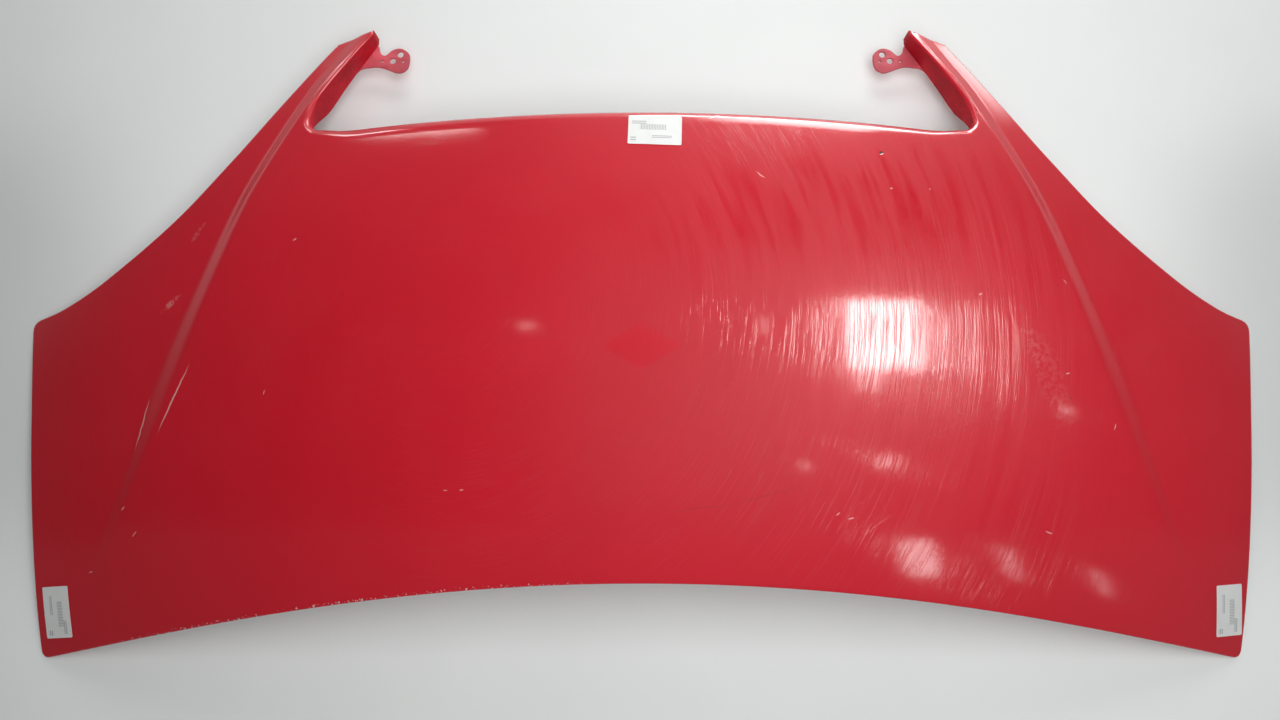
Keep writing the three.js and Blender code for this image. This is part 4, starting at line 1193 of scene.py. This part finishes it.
def light_card(name, radiance, corners, fades=(0, 0, 0, 0)):
    """A net on a sphere round the middle of the cards, which adds its light to what is behind it."""
    u, v = np.meshgrid(np.linspace(0, 1, CARD_POINTS), np.linspace(0, 1, CARD_POINTS))
    a, b, c, d = (np.array(corner) for corner in corners)
    u3, v3 = u[..., None], v[..., None]
    net = (a * (1 - u3) + b * u3) * (1 - v3) + (d * (1 - u3) + c * u3) * v3 - CARD_MIDDLE
    far = [np.linalg.norm(corner - CARD_MIDDLE) for corner in (a, b, c, d)]
    net *= np.mean(far) / np.linalg.norm(net, axis=2, keepdims=True)
    net += CARD_MIDDLE
    glow = np.ones_like(u)
    for share, fade in zip((u, 1 - u, v, 1 - v), fades):
        glow *= smoothstep(share, 0, fade) if fade else 1
    sheet = Sheet()
    sheet.add_rows(net)
    mesh = bpy.data.meshes.new(name)
    mesh.from_pydata(sheet.points[0].tolist(), [], sheet.faces[0].tolist())
    mesh.attributes.new("glow", "FLOAT", "POINT").data.foreach_set("value", glow.ravel() * radiance)
    material, tree, _ = new_material(f"{name}_glow")
    strength = node(tree, "Attribute", output="Fac", attribute_name="glow")
    glowing = node(tree, "Emission", {"Color": (1, 0.99, 0.97, 1), "Strength": strength})
    clear = node(tree, "BsdfTransparent")
    mesh.materials.append(surface(material, node(tree, "AddShader", {0: glowing, 1: clear})))
    card = new_object(name, mesh)
    card.visible_camera = False
    card.visible_diffuse = False
    card.visible_shadow = False


# Pale cards that only the gloss of the materials shows, as the windows and lamps of the room.
# Each has its brightness, its corners (upper left first, then clockwise) and how far its left,
# right, upper and lower edges fade, as shares of its width and height.
CARDS = [
    ("window", 30, [(1.282, 0.737, 2.303), (1.764, 0.739, 1.996), (1.777, 0.162, 2.121), (1.296, 0.125, 2.415)],
     (0.04, 0.25, 0.05, 0.1)),
    ("window_low", 14, [(1.339, 0.178, 2.392), (1.515, 0.189, 2.296), (1.503, -0.04, 2.311),
                        (1.357, -0.053, 2.389)], (0.2, 0.4, 0, 0.3)),
    ("window_pane", 4, [(1.744, 0.724, 2.017), (1.947, 0.664, 1.86), (1.937, 0.117, 1.99), (1.757, 0.16, 2.137)],
     (0, 0.7, 0.2, 0.3)),
    ("halo", 1.8, [(1.042, 1.252, 2.523), (2.275, 1.189, 1.673), (2.288, -0.421, 2.022), (1.073, -0.609, 2.754)],
     (0.5, 0.5, 0.5, 0.5)),
    ("haze", 0.5, [(-0.083, 2.093, 2.611), (2.814, 1.685, 1.22), (2.665, -1.352, 1.85), (-0.082, -1.808, 2.828)],
     (0.5, 0.4, 0.4, 0.5)),
    ("lamp_a", 9, [(-0.775, 0.462, 2.381), (-0.689, 0.504, 2.41), (-0.642, 0.472, 2.436), (-0.723, 0.422, 2.412)],
     (0.3, 0.3, 0.2, 0.2)),
    ("lamp_b", 12, [(0.781, 0.578, 2.522), (0.801, 0.578, 2.517), (0.819, 0.426, 2.545), (0.8, 0.416, 2.551)]),
    ("lamp_c", 12, [(0.97, -0.657, 2.451), (1.014, -0.629, 2.444), (1.033, -0.675, 2.425), (0.99, -0.703, 2.431)]),
    ("lamp_d", 10, [(1.372, -0.566, 2.31), (1.537, -0.511, 2.23), (1.552, -0.599, 2.197), (1.407, -0.637, 2.271)]),
    ("lamp_e", 12, [(2.299, -0.022, 1.581), (2.326, -0.009, 1.541), (2.329, -0.056, 1.536), (2.301, -0.07, 1.576)]),
    ("lamp_f", 10, [(1.924, 0.23, 1.991), (1.961, 0.234, 1.956), (1.972, 0.182, 1.951), (1.935, 0.17, 1.987)]),
    ("low_a", 10, [(1.42, -1.16, 2.04), (1.63, -1.09, 1.925), (1.6, -1.32, 1.77), (1.41, -1.38, 1.87)],
     (0.2, 0.2, 0, 0.12)),
    ("low_b", 6, [(1.878, -1.057, 1.725), (1.959, -1.028, 1.656), (1.935, -1.24, 1.51), (1.86, -1.26, 1.58)],
     (0.3, 0.3, 0.1, 0.3)),
    ("low_c", 4, [(2.182, -1.043, 1.344), (2.236, -1.023, 1.272), (2.213, -1.17, 1.165), (2.163, -1.18, 1.235)],
     (0.3, 0.3, 0.1, 0.3)),
    ("ceiling_fold", 20, [(0.0, 2.66, 0.66), (1.7, 2.66, 0.72), (1.7, 2.66, 0.05), (0.0, 2.66, 0.02)]),
    ("ceiling_lip", 17, [(0.35, 2.66, 2.1), (1.8, 2.66, 2.12), (1.8, 2.66, 0.7), (0.2, 2.66, 0.64)],
     (0.35, 0.1, 0.2, 0)),
    ("ceiling_sheen", 13, [(1.8, 2.6, 0.78), (2.7, 2.4, 1.3), (2.7, 2.4, 0.7), (1.8, 2.6, 0.45)],
     (0.08, 0.6, 0.25, 0.2)),
    ("ceiling_left", 27, [(-1.497, 1.534, 1.066), (-0.85, 1.787, 1.507), (-0.848, 1.807, 1.481),
                          (-1.493, 1.552, 1.044)], (0.45, 0.25, 0.3, 0.3)),
    ("ceiling_left_fold", 13, [(-2.3, 2.66, 1.5), (-1.6, 2.66, 1.4), (-1.5, 2.66, 0.9), (-2.1, 2.66, 0.98)],
     (0.1, 0.2, 0, 0)),
]
for card in CARDS:
    light_card(*card)

area_light("overhead", (0.22, -0.05, 1.35), (0.22, -0.05, 0), (1.0, 1.3), 3.95)
area_light("rear", (0.15, 1.45, 0.95), (0.1, 0.1, 0), (1.2, 0.6), 3.9)

# The room: dim walls, twice as bright low in front, and a pale ceiling's edge low behind
world = bpy.data.worlds.new("world")
world.use_nodes = True
tree = world.node_tree
tree.nodes.clear()
x, y, z = node(tree, "TexCoord", output="Generated").split()
low_side = (y + z * 0.43).between(0.03, -0.03, 1.0, 2.0)
ceiling = z.between(0.35, 0.05) * y.between(0.0, 0.7, 0.0, 0.9)
side = x.between(-0.9, 0.9, 0.07, 0.1) * low_side + ceiling
plain = node(tree, "Background", {"Color": (0.97, 1.0, 0.99, 1), "Strength": side})
seen = node(tree, "Background", {"Color": PALE_GROUND, "Strength": 1.0})
from_camera = node(tree, "LightPath", output="Is Camera Ray")
node(tree, "OutputWorld", {"Surface": node(tree, "MixShader", {0: from_camera, 1: plain, 2: seen})})
bpy.context.scene.world = world
bpy.context.scene.view_settings.view_transform = "Standard"

# The camera, at the photograph's viewing angle

CAMERA_TILT = math.radians(7)
lens = bpy.data.cameras.new("camera")
lens.lens = 27.03
lens.sensor_width = 36
camera = new_object("camera", lens)
camera.location = (-0.0017, -0.170, 1.1714)
aim = Vector((0, math.sin(CAMERA_TILT), -math.cos(CAMERA_TILT)))
camera.rotation_euler = aim.to_track_quat("-Z", "Y").to_euler()
bpy.context.scene.camera = camera
